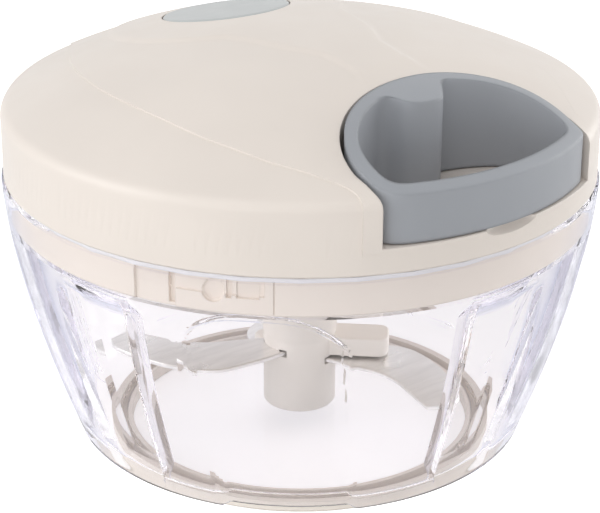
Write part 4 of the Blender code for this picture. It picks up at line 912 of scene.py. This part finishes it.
HANDLE_FOOT = 66.9
HANDLE_DRAWN_TO = 80.0
HANDLE_EDGE = 1.0
HANDLE_RISE_REAR = 0.05
HANDLE_RISE_FRONT = 0.3
HANDLE_RISE_FROM = 32.0
HANDLE_RISE_TO = 50.0
OUTER_FRONT_CORNERS = (4.4, 1.8)
INNER_FRONT_CORNERS = (3.0, 3.0)
REAR_CORNER = 1.1
CORD_BOSS_LEFT = -9.0
CORD_BOSS_RIGHT = 8.4
CORD_BOSS = ((-7.6, -34.7), (-6.4, -36.0), (-5.0, -38.0), (-3.2, -39.2), (-0.8, -39.7),
             (1.4, -39.75), (2.9, -39.3), (3.7, -38.5), (4.6, -37.4), (5.8, -35.9), (6.5, -35.0))
KNOT_CHAMBER = 2.2
KNOT_CHAMBER_PLACE = (-2.0, -35.9)
KNOT_CHAMBER_TOP = 76.9
CORD_HOLE = 1.2


def spaced(line, count):
    """The same line with its points evenly spaced."""
    lengths = [0.0]
    for a, b in zip(line, line[1:]):
        lengths.append(lengths[-1] + (Vector(b) - Vector(a)).length)
    points, k = [], 0
    for i in range(count + 1):
        want = lengths[-1] * i / count
        while k < len(lengths) - 2 and lengths[k + 1] < want:
            k += 1
        share = (want - lengths[k]) / max(1e-9, lengths[k + 1] - lengths[k])
        points.append(tuple(Vector(line[k]).lerp(Vector(line[k + 1]), share)))
    return points


def handle_loop(half_width, rear, radius, left, right):
    """One line round the handle, with the sizes of its two front corners."""
    edge = math.degrees(math.asin(half_width / radius))
    front = [polar(radius, edge - 2.0 * edge * i / 60) for i in range(61)]
    front = [(x, y - HANDLE_FRONT + FRONT_CURVE) for x, y in front]
    inner = [p for p in front if left - half_width < p[0] < half_width - right]
    return (rear, rounded(rear[-1], front[0], inner[0], right, 8), spaced(inner, 50),
            rounded(inner[-1], front[-1], rear[0], left, 8))


def handle_rear_inside():
    """The inside of the handle's rear, with the boss that the cord is knotted in."""
    line = handle_back(HALF_WIDTH - HANDLE_WALL, HANDLE_REAR + HANDLE_WALL, 90)
    left = [p for p in line if p[0] < CORD_BOSS_LEFT]
    right = [p for p in line if p[0] > CORD_BOSS_RIGHT]
    corner = rounded(CORD_BOSS[-1], (6.8, right[0][1] + 0.05), right[0], REAR_CORNER, 6)
    boss = through([left[-1]] + list(CORD_BOSS), 4)
    return left[:-1] + boss[:-1] + corner + right


def make_handle():
    """A bridged ring whose top follows the dome, bored for the cord and its knot."""
    inside = handle_rear_inside()
    half_inside = HALF_WIDTH - HANDLE_WALL
    curve = FRONT_CURVE - HANDLE_WALL
    front_edge = FRONT_CURVE - HANDLE_FRONT - math.sqrt(curve ** 2 - half_inside ** 2)
    inside = [p for p in inside if p[1] > front_edge + INNER_FRONT_CORNERS[0]]
    outside = spaced(handle_back(HALF_WIDTH, HANDLE_REAR, 120), len(inside) - 1)
    outer_loop = handle_loop(HALF_WIDTH, outside, FRONT_CURVE, *OUTER_FRONT_CORNERS)
    inner_loop = handle_loop(half_inside, inside, curve, *INNER_FRONT_CORNERS)
    outer = [p for part in outer_loop for p in part]
    inner = [p for part in inner_loop for p in part]
    handle = wall_between("loop_handle", outer, inner, HANDLE_FOOT, HANDLE_DRAWN_TO)
    for vertex in handle.data.vertices:
        if vertex.co.z > 70.0 * MM:
            radius = math.hypot(vertex.co.x, vertex.co.y) / MM
            forward = ease(HANDLE_RISE_FROM, HANDLE_RISE_TO, radius)
            rise = HANDLE_RISE_REAR + HANDLE_RISE_FRONT * forward
            vertex.co.z = dome_height(min(radius, HANDLE_FRONT), rise) * MM
    break_edges(handle, HANDLE_EDGE, 5, 50.0)
    chamber = cut_out("chamber", round_plan(KNOT_CHAMBER_PLACE, KNOT_CHAMBER, 24), 60.0,
                      KNOT_CHAMBER_TOP)
    carve(handle, chamber, along_cord("cord_hole", CORD_HOLE, 30.0, 36.0))
    return smooth(handle, 30.0)


dress(make_handle(), blue_grey, "blue_grey_plastic", "handle", "pull_handle")


# Collar

COLLAR = 60.4
PAST_COLLAR = COLLAR + 1.0
COLLAR_SECTION = ((60.0, 64.0), (60.0, 61.0), (60.2, 61.0), (COLLAR, 60.8), (COLLAR, 53.1),
                  (60.1, 52.8), (10.3, 52.8), (10.3, 54.8), (12.0, 54.8), (12.0, 60.5),
                  (13.8, 60.5), (13.8, 54.8), (58.6, 54.8), (58.6, 64.0))
CHANNEL_FLOOR = 59.88
CHANNEL_START = -71.0
CHANNEL_TOP = 59.9
ENTRY_END = -62.6
ENTRY_LOW = 51.0
RUN_END = -46.2
RUN_LOW = 56.7
# A mark's name, its first and last azimuth, its lower and upper edge, and its floor's radius
MARKS = (("seam", -44.6, -44.4, 53.3, 60.7, COLLAR - 0.2),
         ("slot", -64.1, -62.9, 53.5, 60.0, CHANNEL_FLOOR - 0.7),
         ("bar", -53.1, -52.1, 56.1, 59.5, CHANNEL_FLOOR - 0.4),
         ("panel", -51.2, -47.1, 56.2, 59.2, CHANNEL_FLOOR - 0.2))
DIMPLE_AZIMUTH = -55.5
DIMPLE_HEIGHT = 57.2
DIMPLE = 2.2
DIMPLE_FLOOR = CHANNEL_FLOOR - 0.5
BASE_BOSS_LOW = 53.8
BASE_BOSS_HIGH = 61.0
SCREW_HEAD = 3.3
SCREW_SEAT = 54.9
UNDER_COLLAR = 51.0


def copied(node_name, name):
    """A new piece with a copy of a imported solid's mesh, its loose triangles merged."""
    piece = bpy.data.objects.new(name, nodes[node_name].data.copy())
    piece.data.name = name
    bpy.context.scene.collection.objects.link(piece)
    open_up(piece)
    bpy.ops.mesh.select_all(action="SELECT")
    bpy.ops.mesh.remove_doubles(threshold=WELD * MM)
    bpy.ops.object.mode_set(mode="OBJECT")
    return piece


def on_collar(name, start, end, low, high, inner, outer):
    """A curved block on the collar, between two azimuths, heights and radii."""
    plan = arc((0.0, 0.0), outer, start - 90.0, end - 90.0, 8)
    plan += arc((0.0, 0.0), inner, end - 90.0, start - 90.0, 8)
    return cut_out(name, plan, low, high)


def collar_dimple(azimuth, height, radius, floor):
    """A round cutter that faces the collar, with its flat end at a radius of the lid."""
    dimple = turned("dimple", [(0.0, floor), (radius - 0.3, floor), (radius, floor + 0.4),
                               (radius, PAST_COLLAR), (0.0, PAST_COLLAR)], 48, False)
    return placed(dimple, Matrix.Translation((0.0, 0.0, height * MM))
                  @ Matrix.Rotation(math.radians(azimuth), 4, "Z")
                  @ Matrix.Rotation(math.radians(90.0), 4, "X"))


def make_collar():
    """A turned tray with its marks, a bayonet channel for each lug, and the screws' holes."""
    collar = turned("bayonet_collar", COLLAR_SECTION, 360)
    fuse(collar, *[cut_out("base_boss", plan, BASE_BOSS_LOW, BASE_BOSS_HIGH)
                   for plan in screw_plans(SCREW_POST, 24)])
    cuts = [on_collar(*mark, PAST_COLLAR) for mark in MARKS]
    cuts.append(collar_dimple(DIMPLE_AZIMUTH, DIMPLE_HEIGHT, DIMPLE, DIMPLE_FLOOR))
    for k in range(LUGS):
        turn = LUG_APART * k
        for name, end, low in (("entry", ENTRY_END, ENTRY_LOW), ("run", RUN_END, RUN_LOW)):
            cuts.append(on_collar(name, CHANNEL_START + turn, end + turn, low, CHANNEL_TOP,
                                  CHANNEL_FLOOR, PAST_COLLAR))
    for head, shank in zip(screw_plans(SCREW_HEAD, 24), screw_plans(SCREW_PILOT, 16)):
        cuts.append(cut_out("counterbore", head, UNDER_COLLAR, SCREW_SEAT))
        cuts.append(cut_out("clearance", shank, UNDER_COLLAR, 63.0))
    carve(collar, *cuts)
    return smooth(collar, 30.0)


dress(make_collar(), collar_cream, "cream_plastic", "lid", "lid_base")


# Cord between the spool and the handle


def make_cord_lead():
    """A copy of the cord's solid, which runs between the lid and the handle."""
    lead = smooth(copied("pull_cord", "cord_lead"), 40.0)
    lead.data.materials.clear()
    lead.data.materials.append(cord_finish)
    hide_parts("pull_cord")
    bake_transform(lead)


make_cord_lead()


# Carried-over solids

KEPT = (
    (seal_rubber, ("lid_seal",)),
    (plain_steel, ("pivot_pin", "spool_axle", "axle_washer", "axle_screw", "lid_screw_1",
                   "lid_screw_2", "lid_screw_3", "lid_screw_4", "pawl_pin_1", "pawl_pin_2")),
    (blued_strip, ("recoil_spring",)),
    (nylon, ("drive_bush", "drive_cup", "cord_spool", "spring_cover", "pawl_1", "pawl_2",
             "cord_eyelet")),
    (cord_finish, ("cord_winding", "cord_knot")),
)
for material, node_names in KEPT:
    for node_name in node_names:
        for slot in nodes[node_name].material_slots:
            slot.material = material


# Studio, whose distances are in metres

PAPER_SIZE = 6.0
PAPER_CLOUDS = 9.0
PAPER_DARK = 0.775
PAPER_MIDDLE = 0.78
PAPER_LIGHT = 0.785
# The paper's glow runs from its level under the bowl out to its level beside it. The extra glow under
# the bowl is painted light on the bowl's shade.
GLOW_FROM = 0.050
GLOW_TO = 0.110
PAINTED_LIGHT_UNDER_BOWL = 0.50
GLOW_BESIDE = 0.30
GLOW_FOR_CAMERA = 0.42
HORIZON = 0.85
ZENITH = 0.36
LAMP_AIM = 0.06
LAMP_DISTANCE = 1.1
LAMP_SIZE = 0.8
# A lamp's name, azimuth, elevation and watts
LAMPS = (("left", -115.0, 22.0, 3.8), ("front", -58.0, 12.0, 1.7), ("top", -60.0, 62.0, 1.9),
         ("right", 75.0, 15.0, 5.4))


def looked_at(tree):
    """1 for rays from the camera, off a gloss or through clear plastic, and 0 for all others."""
    path = tree.nodes.new("ShaderNodeLightPath")
    source = path.outputs["Is Camera Ray"]
    for ray in ("Is Transmission Ray", "Is Glossy Ray"):
        either = tree.nodes.new("ShaderNodeMath")
        either.operation = "MAXIMUM"
        tree.links.new(source, either.inputs[0])
        tree.links.new(path.outputs[ray], either.inputs[1])
        source = either.outputs[0]
    return source


def floor_finish():
    """White paper that keeps the shadow beside the bowl, with a glow that adds no diffuse light.

    The glow shows to the camera, in glossy reflections and through clear plastic, and is stronger
    under the bowl: painted light that lifts the shade there.
    """
    material = finish("white_paper", (PAPER_MIDDLE,) * 3, 0.9)
    two_tones(material, grain(material, PAPER_CLOUDS), (PAPER_DARK,) * 3, (PAPER_LIGHT,) * 3)
    tree = material.node_tree
    shader = shader_of(material)
    output = tree.nodes["Material Output"]
    glow = tree.nodes.new("ShaderNodeEmission")
    glow.inputs["Color"].default_value = (1.0, 1.0, 1.0, 1.0)
    place = tree.nodes.new("ShaderNodeTexCoord")
    reach = tree.nodes.new("ShaderNodeVectorMath")
    reach.operation = "LENGTH"
    # Painted light: the glow is stronger near the axis, under the bowl, where the paper lies in
    # shade.
    painted_light_pool = tree.nodes.new("ShaderNodeMapRange")
    painted_light_pool.inputs["From Min"].default_value = GLOW_FROM
    painted_light_pool.inputs["From Max"].default_value = GLOW_TO
    painted_light_pool.inputs["To Min"].default_value = PAINTED_LIGHT_UNDER_BOWL
    painted_light_pool.inputs["To Max"].default_value = GLOW_BESIDE
    level = tree.nodes.new("ShaderNodeMath")
    level.operation = "MULTIPLY"
    direct = tree.nodes.new("ShaderNodeMath")
    direct.operation = "MULTIPLY_ADD"
    direct.inputs[1].default_value = GLOW_FOR_CAMERA
    path = tree.nodes.new("ShaderNodeLightPath")
    wire(material, place, "Object", reach, 0)
    wire(material, reach, "Value", painted_light_pool, "Value")
    wire(material, painted_light_pool, "Result", level, 1)
    tree.links.new(looked_at(tree), level.inputs[0])
    wire(material, path, "Is Camera Ray", direct, 0)
    wire(material, level, "Value", direct, 2)
    wire(material, direct, "Value", glow, "Strength")
    add = tree.nodes.new("ShaderNodeAddShader")
    wire(material, shader, "BSDF", add, 0)
    wire(material, glow, "Emission", add, 1)
    wire(material, add, "Shader", output, "Surface")
    return material


def make_floor():
    put_down()
    bpy.ops.mesh.primitive_plane_add(size=PAPER_SIZE, location=(0, 0, 0))
    floor = named("paper_floor")
    open_up(floor)
    bpy.ops.mesh.select_all(action="SELECT")
    bpy.ops.mesh.subdivide(number_cuts=5)
    bpy.ops.object.mode_set(mode="OBJECT")
    floor.data.materials.append(floor_finish())


def make_room():
    """Soft light that fades from the horizon to the zenith, and plain white where looked at."""
    world = bpy.data.worlds.new("soft_room")
    bpy.context.scene.world = world
    world.use_nodes = True
    tree = world.node_tree
    room = tree.nodes["Background"]
    room.inputs["Color"].default_value = (1.0, 1.0, 1.0, 1.0)
    place = tree.nodes.new("ShaderNodeTexCoord")
    parts = tree.nodes.new("ShaderNodeSeparateXYZ")
    light = tree.nodes.new("ShaderNodeMapRange")
    light.inputs["To Min"].default_value = HORIZON
    light.inputs["To Max"].default_value = ZENITH
    level = tree.nodes.new("ShaderNodeMix")
    level.inputs["B"].default_value = 1.0
    tree.links.new(place.outputs["Generated"], parts.inputs["Vector"])
    tree.links.new(parts.outputs["Z"], light.inputs["Value"])
    tree.links.new(looked_at(tree), level.inputs["Factor"])
    tree.links.new(light.outputs["Result"], level.inputs["A"])
    tree.links.new(level.outputs["Result"], room.inputs["Strength"])


def make_lamps():
    for name, azimuth, elevation, watts in LAMPS:
        tilt = math.radians(elevation)
        x, y = polar(LAMP_DISTANCE * math.cos(tilt), azimuth)
        place = Vector((x, y, LAMP_AIM + LAMP_DISTANCE * math.sin(tilt)))
        aim = Vector((0.0, 0.0, LAMP_AIM)) - place
        bpy.ops.object.light_add(type="AREA", location=place,
                                 rotation=aim.to_track_quat("-Z", "Y").to_euler())
        lamp = bpy.context.object
        lamp.name = name + "_softbox"
        lamp.data.size = LAMP_SIZE
        lamp.data.energy = watts


# Camera, whose place and aim are in millimetres and whose small roll is in radians

CAMERA_PLACE = (-257.2, -306.6, 211.9)
CAMERA_AIM = (0.0, 0.0, 39.06)
CAMERA_ROLL = 0.004
SENSOR_WIDTH = 36.0
FOCAL_LENGTH = 121.65


def make_camera():
    place = Vector(CAMERA_PLACE) * MM
    aim = Vector(CAMERA_AIM) * MM - place
    turn = aim.to_track_quat("-Z", "Y").to_matrix() @ Matrix.Rotation(CAMERA_ROLL, 3, "Z")
    bpy.ops.object.camera_add(location=place, rotation=turn.to_euler())
    camera = bpy.context.object
    camera.name = "picture_camera"
    camera.data.sensor_fit = "HORIZONTAL"
    camera.data.sensor_width = SENSOR_WIDTH
    camera.data.lens = FOCAL_LENGTH
    camera.data.clip_start = 0.01
    bpy.context.scene.camera = camera


put_down()
make_floor()
make_room()
make_lamps()
make_camera()
bpy.context.scene.view_settings.view_transform = "Standard"
